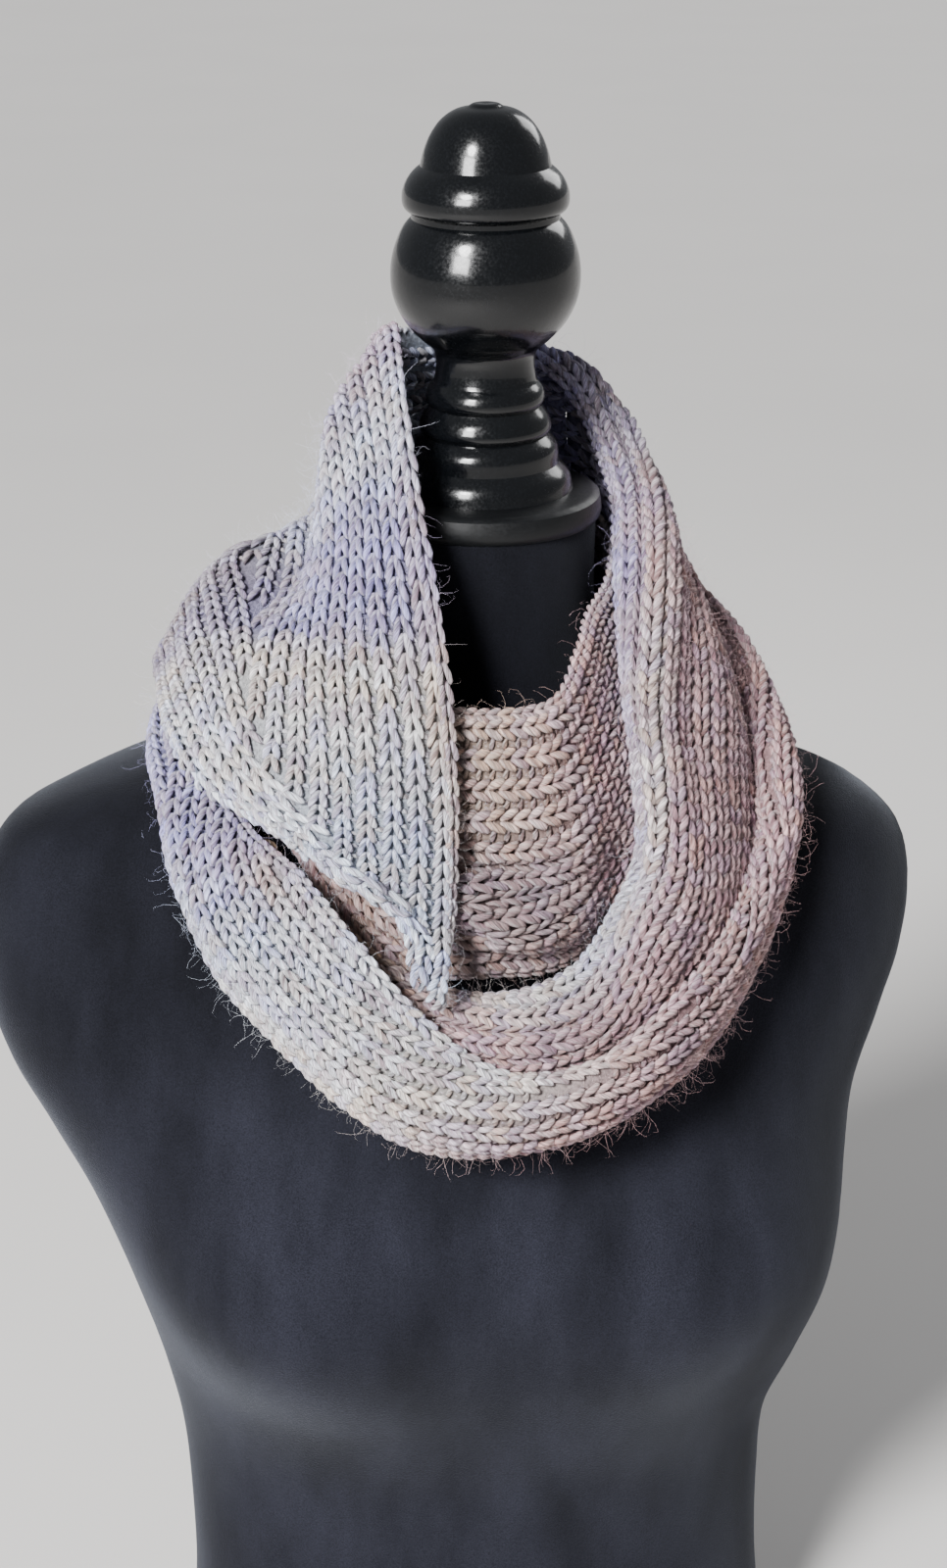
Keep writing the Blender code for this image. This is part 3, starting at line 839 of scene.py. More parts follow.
def yarn_material(yarn):
    """Plied, marled yarn: streaks and grooves wind round each leg, over the dye; the grooves darken it as
    painted shade.
    """
    material, tree, shader = new_material("plied_yarn")
    uv = put(tree, "ShaderNodeUVMap", uv_map="UVMap")
    split = put(tree, "ShaderNodeSeparateXYZ", {0: uv.outputs[0]})
    run = split.outputs[0]
    dye = attribute(tree, "dye", "Color")
    shift = maths(tree, "MULTIPLY", attribute(tree, "tone", "Fac"), TONE_SHIFT)
    turns = maths(tree, "ADD", split.outputs[1], maths(tree, "MULTIPLY", run, PLY_TWIST))
    around = maths(tree, "MULTIPLY", turns, 2 * math.pi)
    cos = maths(tree, "COSINE", around)
    sin = maths(tree, "SINE", around)

    def wound(rate):
        along = maths(tree, "ADD", maths(tree, "MULTIPLY", run, rate), shift)
        return put(tree, "ShaderNodeCombineXYZ", {0: cos, 1: sin, 2: along}).outputs[0]

    helix = wound(MARL_RUN)
    lengthwise = wound(THREAD_RUN)
    thread = noise(tree, lengthwise, "thread")
    groove = maths(tree, "COSINE", maths(tree, "MULTIPLY", around, PLY_GROOVES))
    level = product(
        tree,
        factor(tree, noise(tree, helix, "marl"), "marl"),
        # painted shade in the ply grooves
        factor(tree, groove, "groove"),
        factor(tree, noise(tree, helix, "fibre"), "fibre"),
        factor(tree, thread, "thread"),
    )
    part = remapped(tree, noise(tree, lengthwise, "other_ply"), *PLY_SPAN, 0.0, yarn.marl)
    deep = put(tree, "ShaderNodeVectorMath", {0: dye, 1: tuple(yarn.marl_tint)}, operation="MULTIPLY")
    ply = put(tree, "ShaderNodeMix", {"Factor": part, 6: dye, 7: deep.outputs[0]}, data_type="RGBA")
    paint(tree, shader, ply.outputs[2], level)
    height = maths(tree, "ADD", groove, maths(tree, "MULTIPLY", thread, THREAD_BUMP))
    roughen(tree, shader, "plied_yarn", height)
    shader.inputs["Sheen Weight"].default_value = yarn.halo
    return material


def painted_shade_ground_material():
    """The purl ground between the ribs: the same yarn's dye darkened as painted shade, where it lies deep
    between the ribs, and duller.
    """
    material, tree, shader = new_material("purl_ground")
    fibre = noise(tree, own_place(tree), "ground")
    # painted shade: the dye darkened deep between the ribs
    paint(tree, shader, attribute(tree, "dye", "Color"), factor(tree, fibre, "ground"))
    roughen(tree, shader, "purl_ground", fibre)
    return material


def fuzz_material():
    """Loose fibres standing off the yarn, about as pale as its palest stitches."""
    material, tree, shader = new_material("loose_fibre")
    least, more = FIBRE_LIGHT
    level = maths(tree, "MULTIPLY_ADD", attribute(tree, "tone", "Fac"), more, least)
    paint(tree, shader, attribute(tree, "dye", "Color"), level)
    return material


def velvet_material(finish):
    """Short black pile: a soft grey sheen at grazing angles, and brushed patches where the nap was stroked,
    painted into the colour as lighter and darker sheen; painted sheen also lightens the colour lower down the
    form.
    """
    material, tree, shader = new_material("black_velvet")
    place = own_place(tree)
    stretched = put(tree, "ShaderNodeMapping", {"Vector": place, "Scale": NAP_STRETCH})
    # brushed patches of nap, painted into the colour as lighter and darker sheen
    nap = noise(tree, stretched.outputs[0], "nap")
    pile = noise(tree, place, "pile")
    height = put(tree, "ShaderNodeSeparateXYZ", {0: place}).outputs[2]
    level = product(
        tree,
        factor(tree, nap, "nap"),
        factor(tree, pile, "pile"),
        # painted sheen: lighter lower down the form
        factor(tree, height, "painted_sheen_low_down"),
    )
    paint(tree, shader, plain_colour(tree, finish.velvet), level)
    roughen(tree, shader, "black_velvet", maths(tree, "ADD", pile, maths(tree, "MULTIPLY", nap, NAP_BUMP)))
    return material


def lacquer_material(name, finish):
    """Black lacquer over turned wood: a faint ripple and fine dust break the gloss."""
    material, tree, shader = new_material(name)
    place = own_place(tree)
    dust = noise(tree, place, "dust")
    polish = LACQUERS[name]
    rough = remapped(tree, dust, *DUST_SPAN, polish, polish + DUST_DULL)
    tree.links.new(rough, shader.inputs["Roughness"])
    paint(tree, shader, plain_colour(tree, finish.lacquer), factor(tree, dust, "dust"))
    roughen(tree, shader, name, noise(tree, place, "ripple"))
    return material


def linked(name, data):
    """An object in the scene that shows some data."""
    made = bpy.data.objects.new(name, data)
    bpy.context.scene.collection.objects.link(made)
    return made


def mesh_object(name, vertices, faces, material=None, smooth=True):
    mesh = bpy.data.meshes.new(name)
    mesh.from_pydata([tuple(v) for v in vertices], [], faces)
    if smooth:
        mesh.shade_smooth()
    if material:
        mesh.materials.append(material)
    return linked(name, mesh)


def set_values(mesh, name, kind, values):
    """Stores one value for each point of a mesh."""
    field = {"FLOAT_COLOR": "color", "FLOAT_VECTOR": "vector"}.get(kind, "value")
    layer = mesh.attributes.new(name, kind, "POINT")
    kept = np.ascontiguousarray(values, dtype=np.int32 if kind == "INT" else np.float32)
    layer.data.foreach_set(field, kept.ravel())


def with_alpha(colours):
    return np.concatenate([colours, np.ones((len(colours), 1))], axis=1)


def strand(name, rows, sides, mirrored):
    """A plump strand along a table of places and radii, and its mirror image if asked for."""
    vertices = []
    faces = []
    shares = []
    for flip in (1, -1) if mirrored else (1,):
        line = np.array([row[:3] for row in rows], float) * (flip, 1, 1) * MM
        radii = [row[3] * MM for row in rows]
        ahead = unit(np.gradient(line, axis=0))
        base = len(vertices)
        for i, (point, run, radius) in enumerate(zip(line, ahead, radii)):
            side = unit(np.cross(run, (0.0, 0.0, 1.0)))
            top = np.cross(side, run)
            ends = i in (0, len(rows) - 1)
            for k in range(1 if ends else sides):
                a = 2 * math.pi * k / sides
                off = 0.0 if ends else radius
                vertices.append(point + (side * math.cos(a) + top * math.sin(a)) * off)
        rings = [[base] * sides]
        for i in range(len(rows) - 2):
            rings.append([base + 1 + i * sides + k for k in range(sides)])
        rings.append([base + 1 + (len(rows) - 2) * sides] * sides)
        for i, (low, high) in enumerate(zip(rings, rings[1:])):
            for k in range(sides):
                n = (k + 1) % sides
                corners = list(dict.fromkeys((low[k], low[n], high[n], high[k])))
                around = {low[k]: (i, k), low[n]: (i, k + 1), high[n]: (i + 1, k + 1), high[k]: (i + 1, k)}
                if low[k] == low[n]:
                    around[low[k]] = (i, k + 0.5)
                if high[k] == high[n]:
                    around[high[k]] = (i + 1, k + 0.5)
                faces.append(tuple(corners))
                shares += [around[c] for c in corners]
    made = mesh_object(name, vertices, faces)
    layer = made.data.uv_layers.new(name="UVMap")
    flat = [(i / (len(rows) - 1), k / sides) for i, k in shares]
    layer.data.foreach_set("uv", np.array(flat, np.float32).ravel())
    return made


def new_kit(name, shapes):
    """A collection of shapes to repeat, out of the scene itself."""
    kit = bpy.data.collections.new(name)
    bpy.context.scene.collection.children.link(kit)
    for made in shapes:
        bpy.context.scene.collection.objects.unlink(made)
        kit.objects.link(made)
    return kit


def stitch_kit():
    """The few stitch shapes that the whole scarf repeats, named so that their order is the table's."""
    shapes = []
    for kind, (rows, sides, mirrored, spread, plump, shift) in enumerate(STITCH_KIT):
        changed = [(x * spread, y + shift, z, r * plump) for x, y, z, r in rows]
        shapes.append(strand(f"kit_{kind}", changed, sides, mirrored))
    return new_kit("stitch_kit", shapes)


def fibre_kit(long):
    """The few curls that all loose fibres repeat."""
    shapes = []
    for name, (bend, turn) in FIBRES.items():
        rows = [
            ((bend * bent + back) * long, turn * turned * long, rise * long, radius)
            for bent, back, turned, rise, radius in FIBRE_LINE
        ]
        shapes.append(strand(name, rows, FIBRE_SIDES, False))
    return new_kit("fibre_kit", shapes)


def named_input(tree, name, kind):
    return put(tree, "GeometryNodeInputNamedAttribute", {"Name": name}, data_type=kind).outputs["Attribute"]


def geometry_tree(name, kit_name, numbers):
    """A Geometry Nodes group whose inputs are a mesh, a kit, some numbers, a seed and a material."""
    tree = bpy.data.node_groups.new(name, "GeometryNodeTree")
    sockets = [("Geometry", "Geometry"), (kit_name, "Collection")] + [(label, "Float") for label in numbers]
    for label, kind in sockets + [("Seed", "Int"), ("Material", "Material")]:
        tree.interface.new_socket(label, in_out="INPUT", socket_type="NodeSocket" + kind)
    tree.interface.new_socket("Geometry", in_out="OUTPUT", socket_type="NodeSocketGeometry")
    given = put(tree, "NodeGroupInput").outputs
    pieces = {"Collection": given[kit_name], "Separate Children": True, "Reset Children": True}
    return tree, given, put(tree, "GeometryNodeCollectionInfo", pieces).outputs[0]


def random_turn(tree, given, reach):
    """Three random numbers between -reach and reach."""
    ends = {"Min": tuple(-r for r in reach), "Max": reach, "Seed": given["Seed"]}
    return put(tree, "FunctionNodeRandomValue", ends, data_type="FLOAT_VECTOR").outputs[0]


def turned_more(tree, rotation, angles):
    """A rotation followed by three more turns about its own axes."""
    tilt = put(tree, "FunctionNodeEulerToRotation", {0: angles})
    both = {0: rotation, 1: tilt.outputs[0]}
    return put(tree, "FunctionNodeRotateRotation", both, rotation_space="LOCAL").outputs[0]


def finish_tree(tree, given, instances):
    """Makes the instances real, gives them the material and hands them on."""
    real = put(tree, "GeometryNodeRealizeInstances", {0: instances})
    coat = {"Geometry": real.outputs[0], "Material": given["Material"]}
    painted = put(tree, "GeometryNodeSetMaterial", coat)
    put(tree, "NodeGroupOutput", {0: painted.outputs[0]})
    return tree


def stitch_tree():
    """Sets a stitch on every point, turned to the cloth, sized to its row and column, and a little uneven."""
    tree, given, kit = geometry_tree("knit_stitches", "Stitch Kit", ["Unevenness"])
    axes = {0: named_input(tree, "facing", "FLOAT_VECTOR"), 1: named_input(tree, "travel", "FLOAT_VECTOR")}
    turned = put(tree, "FunctionNodeAxesToRotation", axes, primary_axis="Z", secondary_axis="Y")
    wobble = random_turn(tree, given, (1.0, 1.0, 1.0))
    small = put(tree, "ShaderNodeVectorMath", {0: wobble, "Scale": given["Unevenness"]}, operation="SCALE")
    grown = put(tree, "ShaderNodeVectorMath", {0: small.outputs[0], 1: (1.0, 1.0, 1.0)}, operation="ADD")
    sizes = {0: named_input(tree, "size", "FLOAT_VECTOR"), 1: grown.outputs[0]}
    places = {
        "Points": given["Geometry"],
        "Instance": kit,
        "Pick Instance": True,
        "Instance Index": named_input(tree, "shape", "INT"),
        "Rotation": turned_more(tree, turned.outputs[0], small.outputs[0]),
        "Scale": put(tree, "ShaderNodeVectorMath", sizes, operation="MULTIPLY").outputs[0],
    }
    return finish_tree(tree, given, put(tree, "GeometryNodeInstanceOnPoints", places).outputs[0])


def fuzz_tree():
    """Scatters loose fibres over a surface, leaning at random."""
    tree, given, kit = geometry_tree("loose_fibres", "Fibre Kit", ["Density", "Lean"])
    sown = {"Mesh": given["Geometry"], "Density": given["Density"], "Seed": given["Seed"]}
    spread = put(tree, "GeometryNodeDistributePointsOnFaces", sown)
    lean = random_turn(tree, given, FIBRE_TURNS)
    reach = put(tree, "ShaderNodeCombineXYZ", {0: given["Lean"], 1: given["Lean"], 2: 1.0})
    angles = put(tree, "ShaderNodeVectorMath", {0: lean, 1: reach.outputs[0]}, operation="MULTIPLY")
    shortest, longest = FIBRE_SCALE
    size = put(tree, "FunctionNodeRandomValue", {2: shortest, 3: longest}, data_type="FLOAT")
    places = {
        "Points": spread.outputs["Points"],
        "Instance": kit,
        "Pick Instance": True,
        "Rotation": turned_more(tree, spread.outputs["Rotation"], angles.outputs[0]),
        "Scale": size.outputs[1],
    }
    placed = put(tree, "GeometryNodeInstanceOnPoints", places).outputs[0]
    tone = put(tree, "FunctionNodeRandomValue", data_type="FLOAT").outputs[1]
    kept = {"Geometry": placed, "Name": "tone", "Value": tone}
    stored = put(tree, "GeometryNodeStoreNamedAttribute", kept, data_type="FLOAT", domain="INSTANCE")
    return finish_tree(tree, given, stored.outputs[0])


def grown_mesh(source, tree, values, name):
    """Runs a Geometry Nodes group on an object and keeps the outcome as a plain mesh of its own."""
    modifier = source.modifiers.new(tree.name, "NODES")
    modifier.node_group = tree
    for socket in tree.interface.items_tree:
        if socket.in_out == "INPUT" and socket.name in values:
            modifier[socket.identifier] = values[socket.name]
    graph = bpy.context.evaluated_depsgraph_get()
    graph.update()
    seen = source.evaluated_get(graph)
    mesh = bpy.data.meshes.new_from_object(seen, preserve_all_data_layers=True, depsgraph=graph)
    source.modifiers.remove(modifier)
    bpy.data.objects.remove(source)
    mesh.name = name
    return linked(name, mesh)


def drop_kit(kit):
    for piece in list(kit.objects):
        bpy.data.objects.remove(piece)
    bpy.data.collections.remove(kit)


def all_cloth(scene):
    """The six showing stretches, measured once."""
    turns = turns_of_the_loop()
    high = scene.scarf_knit.row_height / MM
    return [Cloth(turns, *row, high) for row in STRETCHES]


class StitchPoints:
    """Gathers the places of a stretch's stitches, and what each stitch is like."""

    columns = (
        ("facing", "FLOAT_VECTOR", 3),
        ("travel", "FLOAT_VECTOR", 3),
        ("size", "FLOAT_VECTOR", 3),
        ("shape", "INT", 1),
        ("dye", "FLOAT_COLOR", 3),
        ("tone", "FLOAT", 1),
    )

    def __init__(self):
        self.rows = []

    def add(self, place, facing, travel, size, shape, dye, tone):
        self.rows.append((*place, *facing, *travel, *size, shape, *dye, tone))

    def as_object(self, name):
        rows = np.array(self.rows)
        made = mesh_object(name, rows[:, :3], [])
        start = 3
        for column, kind, wide in self.columns:
            values = rows[:, start : start + wide]
            set_values(made.data, column, kind, with_alpha(values) if kind == "FLOAT_COLOR" else values)
            start += wide
        return made


def stitch_size(rib, long, plump):
    wide = rib / STITCH_WIDE
    least, most = PLUMP_RANGE
    return (wide * plump, long / STITCH_HIGH, min(most, max(least, math.sqrt(wide))) * plump)


def stitches_of(cloth, knit, yarn, chance):
    """Every stitch place of a stretch: outer ribs, the purls between, inner ribs and both edge chains."""
    gathered = StitchPoints()

    def dyed_and_shaded(i, place, shade):
        colour = dye_at(cloth.name, cloth.share[i], cloth.fraction(i, place), yarn) * chance.uniform(*shade)
        return colour * np.array(MARL_SHADES[chance.integers(0, len(MARL_SHADES))])

    def sized(i, place, rib):
        point, out, run, long = cloth.spot(i, place)
        return point, out, run, stitch_size(rib, long, knit.plump)

    for row in range(cloth.rows):
        i = 2 * row + 1
        ribs, purls, rib = cloth.ribs(i)
        for place in ribs:
            tone = chance.random()
            kind = chance.integers(0, RIB_KINDS)
            gathered.add(*sized(i, place, rib), kind, dyed_and_shaded(i, place, RIB_SHADE), tone)
        for place in purls:
            point, out, run, size = sized(i, place, rib)
            kind = PURL_KIND
            if cloth.fraction(i, place) >= FELTED.get(cloth.name, math.inf):
                kind = NARROW_KIND
                size = (size[0] * NARROW_WIDE, size[1], size[2] * NARROW_PLUMP)
                point = point - out * NARROW_DEEP * MM
            # purls deep between the ribs are darkened as painted shade
            gathered.add(point, out, run, size, kind, dyed_and_shaded(i, place, PURL_PAINTED_SHADE), chance.random())
        for place in (purls + ribs[-1:])[: cloth.inside]:
            point, out, run, size = sized(i, place, rib)
            # inner stitches are darkened as painted shade
            dye = dyed_and_shaded(i, place, PURL_PAINTED_SHADE)
            gathered.add(point - out * knit.wall, -out, run, size, INSIDE_KIND, dye, chance.random())
        for place, near in (((0.0, 0.0), (0.0, CHAIN_FLANK)), ((1.0, 0.0), (1.0, -CHAIN_FLANK))):
            point, out, run, long = cloth.spot(i, place)
            edge = unit(point - cloth.between(cloth.points, i, near))
            facing = unit(out * CHAIN_FACING[0] + edge * CHAIN_FACING[1])
            point = point - out * CHAIN_MOVED[0] * MM - edge * CHAIN_MOVED[1] * MM
            size = (CHAIN_SIZE, long / STITCH_HIGH, CHAIN_SIZE)
            gathered.add(point, facing, run, size, CHAIN_KIND, dyed_and_shaded(i, place, CHAIN_SHADE), chance.random())
    return gathered


def cloth_shell(cloth, knit, yarn, material):
    """The thin ground of a stretch, just under its stitches: every row, two steps for each column."""
    end = -1 if cloth.whole else None
    points = cloth.points[::2, ::2][:end]
    out = cloth.out[::2, ::2][:end]
    share = cloth.share[::2][:end]
    count, wide = points.shape[:2]
    outer = points - out * GROUND_DEEP * MM
    inner = points - out * (knit.wall - GROUND_INSET * MM)
    vertices = np.concatenate([outer.reshape(-1, 3), inner.reshape(-1, 3)])
    half = count * wide
    faces = []
    for i in range(count if cloth.whole else count - 1):
        a = i * wide
        b = (i + 1) % count * wide
        for j in range(wide - 1):
            faces.append((a + j, a + j + 1, b + j + 1, b + j))
            faces.append((half + a + j, half + b + j, half + b + j + 1, half + a + j + 1))
        faces.append((a, b, half + b, half + a))
        last = wide - 1
        faces.append((a + last, half + a + last, half + b + last, b + last))
    if not cloth.whole:
        end = (count - 1) * wide
        for j in range(wide - 1):
            faces.append((j, half + j, half + j + 1, j + 1))
            faces.append((end + j, end + j + 1, half + end + j + 1, half + end + j))
    made = mesh_object(cloth.name + "_ground", vertices, faces, material)
    colours = with_alpha(dye_of_grid(cloth, share, wide, yarn))
    set_values(made.data, "dye", "FLOAT_COLOR", np.concatenate([colours, colours]))
    return made


def dye_of_grid(cloth, share, wide, yarn):
    """The dye at every point of a stretch's grid, row after row."""
    across = np.tile(np.linspace(0, 1, wide), len(share))
    return dye_at(cloth.name, np.repeat(share, wide), across, yarn)


def sown_surface(cloth, knit, yarn):
    """What the fibres of a stretch are sown on: its outer side, and a rim down both of its edges."""
    points = cloth.points[::2, ::2] + cloth.out[::2, ::2] * MM
    rims = cloth.points[::2, [0, -1]] - cloth.out[::2, [0, -1]] * knit.wall
    count, wide = points.shape[:2]
    full = wide + 2
    faces = []
    for i in range(count - 1):
        a = i * full
        b = a + full
        faces += [(a + j, a + j + 1, b + j + 1, b + j) for j in range(wide - 1)]
        faces += [(a, b, b + wide, a + wide), (a + wide - 1, a + wide + 1, b + wide + 1, b + wide - 1)]
    points = np.concatenate([points, rims], axis=1)
    sown = mesh_object(cloth.name + "_sown", points.reshape(-1, 3), faces)
    colours = dye_of_grid(cloth, cloth.share[::2], wide, yarn).reshape(count, wide, 3)
    colours = np.concatenate([colours, colours[:, [0, -1]]], axis=1)
    set_values(sown.data, "dye", "FLOAT_COLOR", with_alpha(colours.reshape(-1, 3)))
    return sown


def torso_point(row, angle):
    """A point on one torso ring. Angle 0 is the front, 90 degrees the right of the picture."""
    height, left, right, front, back, square = row
    s = math.sin(angle)
    c = math.cos(angle)
    wide = right if s > 0 else left
    deep = front if c > 0 else back
    reach = (abs(s / wide) ** square + abs(c / deep) ** square) ** (-1 / square)
    bust = 0.0
    for side in (-1, 1):
        off = math.degrees(angle) - side * BUST_ANGLE_DEG
        off = (off + 180) % 360 - 180
        bust += math.exp(-((off / BUST_SPREAD_DEG) ** 2))
    tall = math.exp(-(((height - BUST_HEIGHT) / BUST_TALL) ** 2))
    reach += BUST_REACH * bust * tall
    turned = angle + math.radians(FORM_TURN_DEG)
    return (reach * math.sin(turned) * MM, -reach * math.cos(turned) * MM, (height + CAP_TOP) * MM)


def turned_outline(rows, fine):
    """A turned piece's outline: smooth between its corners, crisp at them."""
    outline = []
    start = 0
    for i in range(1, len(rows)):
        if rows[i][2]:
            run = [row[:2] for row in rows[start : i + 1]]
            if len(run) > 2:
                run = smooth_through(run, np.linspace(0, 1, fine * (len(run) - 1) + 1))
            outline += [tuple(p) for p in (run[1:] if outline else run)]
            start = i
    return outline


def turned_piece(name, rows, fine, steps, material):
    """A lathe-turned piece from its outline, spun by a Screw modifier."""
    outline = turned_outline(rows, fine)
    mesh = bpy.data.meshes.new(name)
    points = [(r * MM, 0.0, (h + CAP_TOP) * MM) for r, h in outline]
    mesh.from_pydata(points, [(i, i + 1) for i in range(len(points) - 1)], [])
    mesh.materials.append(material)
    made = linked(name, mesh)
    spin = made.modifiers.new("lathe", "SCREW")
    spin.steps = steps
    spin.render_steps = steps
    spin.use_merge_vertices = True
    spin.merge_threshold = TURNED_MERGE * MM
    spin.use_smooth_shade = True
    graph = bpy.context.evaluated_depsgraph_get()
    solid = bpy.data.meshes.new_from_object(made.evaluated_get(graph))
    made.modifiers.remove(spin)
    made.data = solid
    bpy.data.meshes.remove(mesh)
    solid.name = name
    solid.set_sharp_from_angle(angle=math.radians(TURNED_CRISP))
    return made


def colour_setting(name, description, colour):
    return bpy.props.FloatVectorProperty(
        name=name, description=description, default=colour, size=3, subtype="COLOR"
    )


def share_setting(name, description, default, least=0.0, most=1.0):
    return bpy.props.FloatProperty(
        name=name, description=description, default=default, min=least, max=most, subtype="FACTOR"
    )


def length_setting(name, description, default, least=0.0):
    return bpy.props.FloatProperty(
        name=name, description=description, default=default, min=least, unit="LENGTH"
    )


class ScarfKnit(bpy.types.PropertyGroup):
    """Sizes of the knitting"""

    row_height: length_setting("Row height", "Length of one knitted row", 0.0066, 0.004)
    wall: length_setting("Cloth thickness", "Thickness of the cloth between its ribs", 0.003)
    plump: share_setting("Yarn plumpness", "How full each stitch is", 1.0, 0.5, 1.3)
    unevenness: share_setting("Unevenness", "How much the stitches differ", 0.07, 0.0, 0.3)
    fibre_length: length_setting("Fibre length", "Length of the loose fibres", 0.013, 0.002)
    fibre_density: bpy.props.FloatProperty(
        name="Fibre density", description="Loose fibres to a square metre", default=66000.0, min=0.0
    )
    seed: bpy.props.IntProperty(name="Seed", description="Which uneven pattern is knitted", default=7)


class ScarfYarn(bpy.types.PropertyGroup):
    """Dye colours of the yarn"""

    cream: colour_setting("Cream", "Undyed cream", (0.94, 0.92, 0.90))
    cool_white: colour_setting("Cool white", "Palest blue-white", (0.88, 0.925, 1.0))
    lavender: colour_setting("Lavender", "Lavender dye", (0.69, 0.68, 0.86))
    lilac_grey: colour_setting("Lilac grey", "Grey-brown lilac dye", (0.66, 0.61, 0.65))
    pink_beige: colour_setting("Pink beige", "Pink-beige dye", (0.84, 0.68, 0.69))
    warm_beige: colour_setting("Warm beige", "Warm beige dye", (0.82, 0.72, 0.66))
    tan: colour_setting("Tan", "Tan dye", (0.70, 0.60, 0.50))
    mauve: colour_setting("Mauve", "Deep mauve dye", (0.60, 0.50, 0.53))
    peach: colour_setting("Peach", "Faint peach dye", (0.88, 0.77, 0.69))
    marl: share_setting("Marl", "How much of the darker ply shows", 0.85)
    marl_tint: bpy.props.FloatVectorProperty(
        name="Darker ply",
        description="Tint of the darker ply over the dye",
        default=(0.56, 0.44, 0.47),
        size=3,
    )
    halo: share_setting("Halo", "Soft sheen of the yarn's surface", 0.35)


class FormFinish(bpy.types.PropertyGroup):
    """Finishes of the dress form"""

    velvet: colour_setting("Velvet", "Colour of the form's pile", (0.052, 0.054, 0.073))
    lacquer: colour_setting("Lacquer", "Colour of cap and finial", (0.018, 0.022, 0.028))
    rings: bpy.props.IntProperty(name="Rings", description="Rings up the form", default=132, min=30)
    sides: bpy.props.IntProperty(name="Sides", description="Points round the form", default=144, min=40)


class StageSet(bpy.types.PropertyGroup):
    """The studio"""

    floor_size: length_setting("Floor size", "Side of the floor", 40.0)
    floor_colour: colour_setting("Floor colour", "Colour of the floor", (0.80, 0.79, 0.78))
    air_light: bpy.props.FloatProperty(
        name="Room light", description="Strength of the room's light", default=0.36
    )


class SCARF_OT_velvet_form(bpy.types.Operator):
    """Lofts the velvet torso"""

    bl_idname = "scarf.velvet_form"
    bl_label = "Velvet form"

    def execute(self, context):
        finish = context.scene.form_finish
        rows = smooth_through(TORSO, np.linspace(0, 1, finish.rings))
        angles = [2 * math.pi * k / finish.sides for k in range(finish.sides)]
        vertices = [torso_point(row, angle) for row in rows for angle in angles]
        n = finish.sides
        faces = []
        for i in range(len(rows) - 1):
            for k in range(n):
                m = (k + 1) % n
                faces.append((i * n + k, i * n + n + k, i * n + n + m, i * n + m))
        last = (len(rows) - 1) * n
        faces.append(tuple(range(n)))
        faces.append(tuple(last + k for k in reversed(range(n))))
        torso = mesh_object("velvet_form", vertices, faces, velvet_material(finish))
        torso.data.set_sharp_from_angle(angle=math.radians(TORSO_CRISP))
        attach(torso, BODY)
        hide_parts("form_torso")
        return {"FINISHED"}


class SCARF_OT_turned_top(bpy.types.Operator):
    """Turns the neck cap and the finial"""

    bl_idname = "scarf.turned_top"
    bl_label = "Neck cap and finial"

    def execute(self, context):
        finish = context.scene.form_finish
        gloss = lacquer_material("gloss_lacquer", finish)
        satin = lacquer_material("satin_lacquer", finish)
        finial = turned_piece("turned_finial", FINIAL, *FINIAL_STEPS, gloss)
        cap = turned_piece("satin_cap", CAP, *CAP_STEPS, satin)
        for piece, node, slot in ((finial, "finial", "finial_black"), (cap, "neck_cap", "cap_black")):
            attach(piece, BODY)
            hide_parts(node)
        return {"FINISHED"}


class SCARF_OT_cloth(bpy.types.Operator):
    """Lays the knitted ground of each stretch"""

    bl_idname = "scarf.cloth"
    bl_label = "Knitted ground"

    def execute(self, context):
        scene = context.scene
        material = painted_shade_ground_material()
        for cloth in all_cloth(scene):
            shell = cloth_shell(cloth, scene.scarf_knit, scene.scarf_yarn, material)
            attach(shell, BODY)
            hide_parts(*NODES.get(cloth.name, (cloth.name,)))
        return {"FINISHED"}


class SCARF_OT_stitches(bpy.types.Operator):
    """Knits the stitches of each stretch"""

    bl_idname = "scarf.stitches"
    bl_label = "Stitches"

    def execute(self, context):
        scene = context.scene
        knit = scene.scarf_knit
        chance = np.random.default_rng(knit.seed)
        material = yarn_material(scene.scarf_yarn)
        tree = stitch_tree()
        kit = stitch_kit()
        for cloth in all_cloth(scene):
            points = stitches_of(cloth, knit, scene.scarf_yarn, chance).as_object(cloth.name + "_places")
            values = {
                "Stitch Kit": kit,
                "Unevenness": knit.unevenness,
                "Seed": knit.seed,
                "Material": material,
            }
            knitted = grown_mesh(points, tree, values, cloth.name + "_stitches")
            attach(knitted, BODY)
        drop_kit(kit)
        return {"FINISHED"}


class SCARF_OT_fuzz(bpy.types.Operator):
    """Brushes up the loose fibres"""

    bl_idname = "scarf.fuzz"
    bl_label = "Loose fibres"

    def execute(self, context):
        scene = context.scene
        knit = scene.scarf_knit
        material = fuzz_material()
        tree = fuzz_tree()
        kit = fibre_kit(knit.fibre_length / MM)
        for cloth in all_cloth(scene):
            sown = sown_surface(cloth, knit, scene.scarf_yarn)
            values = {
                "Fibre Kit": kit,
                "Density": knit.fibre_density,
                "Lean": FIBRE_LEAN,
                "Seed": knit.seed,
                "Material": material,
            }
            hairs = grown_mesh(sown, tree, values, cloth.name + "_fibres")
            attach(hairs, BODY)
        drop_kit(kit)
        return {"FINISHED"}


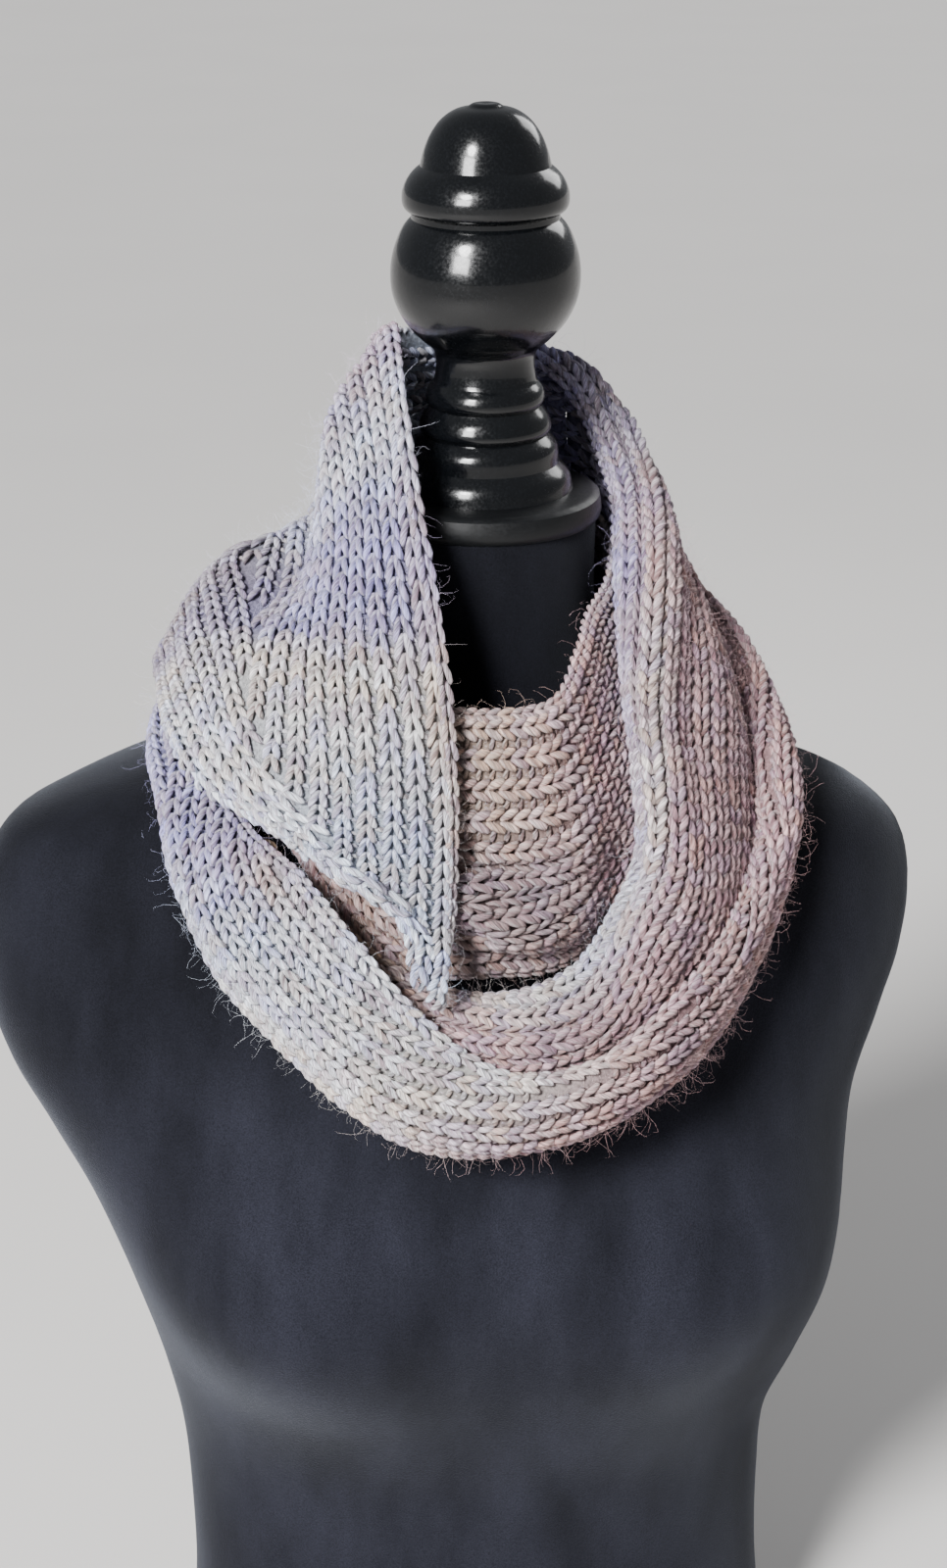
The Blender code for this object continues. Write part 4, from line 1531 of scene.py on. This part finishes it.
class SCARF_OT_stage(bpy.types.Operator):
    """Sets the floor, lights and camera"""

    bl_idname = "scarf.stage"
    bl_label = "Studio"

    def execute(self, context):
        scene = context.scene
        stage = scene.stage_set
        half = stage.floor_size / 2
        corners = [(-half, -half, 0), (half, -half, 0), (half, half, 0), (-half, half, 0)]
        material, tree, shader = new_material("pale_floor")
        level = factor(tree, noise(tree, own_place(tree), "floor"), "floor")
        paint(tree, shader, plain_colour(tree, stage.floor_colour), level)
        floor = mesh_object("pale_floor", corners, [(0, 1, 2, 3)], material, smooth=False)
        world = bpy.data.worlds.new("studio_room")
        world.use_nodes = True
        air = world.node_tree.nodes["Background"]
        air.inputs["Color"].default_value = ROOM_COLOUR
        air.inputs["Strength"].default_value = stage.air_light
        scene.world = world
        for name, kind, strength, size, x, y, z, aim_x, aim_y, aim_z in LAMPS:
            lamp = bpy.data.lights.new(name, kind)
            lamp.energy = strength
            if kind == "SUN":
                lamp.angle = math.radians(size)
            else:
                lamp.size = size
            made = linked(name, lamp)
            made.location = (x, y, z)
            aim = np.array([aim_x - x, aim_y - y, aim_z - z])
            flat = math.hypot(aim[0], aim[1])
            made.rotation_euler = (math.atan2(flat, -aim[2]), 0.0, math.atan2(aim[1], aim[0]) - math.pi / 2)
        eye = bpy.data.cameras.new("photo_camera")
        eye.sensor_fit = "VERTICAL"
        eye.angle = 2 * math.atan(HALF_PICTURE / FOCAL_LENGTH)
        eye.clip_end = CAMERA_FAR
        camera = linked("photo_camera", eye)
        camera.location = CAMERA_PLACE
        camera.rotation_euler = (math.radians(CAMERA_TILT_DEG), 0.0, 0.0)
        scene.camera = camera
        return {"FINISHED"}


class SCARF_PT_panel(bpy.types.Panel):
    """The scarf's pieces and settings"""

    bl_idname = "SCARF_PT_panel"
    bl_label = "Infinity scarf"
    bl_space_type = "VIEW_3D"
    bl_region_type = "UI"
    bl_category = "Scarf"

    def draw(self, context):
        column = self.layout.column()
        for group in ("scarf_knit", "scarf_yarn", "form_finish", "stage_set"):
            settings = getattr(context.scene, group)
            for key in settings.__annotations__:
                column.prop(settings, key)
        for operator in OPERATORS:
            column.operator(operator.bl_idname)


GROUPS = (
    ("scarf_knit", ScarfKnit),
    ("scarf_yarn", ScarfYarn),
    ("form_finish", FormFinish),
    ("stage_set", StageSet),
)
OPERATORS = (
    SCARF_OT_velvet_form,
    SCARF_OT_turned_top,
    SCARF_OT_cloth,
    SCARF_OT_stitches,
    SCARF_OT_fuzz,
    SCARF_OT_stage,
)


def register():
    for name, group in GROUPS:
        bpy.utils.register_class(group)
        setattr(bpy.types.Scene, name, bpy.props.PointerProperty(type=group))
    for piece in OPERATORS + (SCARF_PT_panel,):
        bpy.utils.register_class(piece)


def unregister():
    for piece in reversed(OPERATORS + (SCARF_PT_panel,)):
        bpy.utils.unregister_class(piece)
    for name, group in reversed(GROUPS):
        delattr(bpy.types.Scene, name)
        bpy.utils.unregister_class(group)


def main():
    register()
    bpy.ops.scarf.velvet_form()
    bpy.ops.scarf.turned_top()
    bpy.ops.scarf.cloth()
    bpy.ops.scarf.stitches()
    bpy.ops.scarf.fuzz()
    bpy.ops.scarf.stage()


if __name__ == "__main__":
    main()
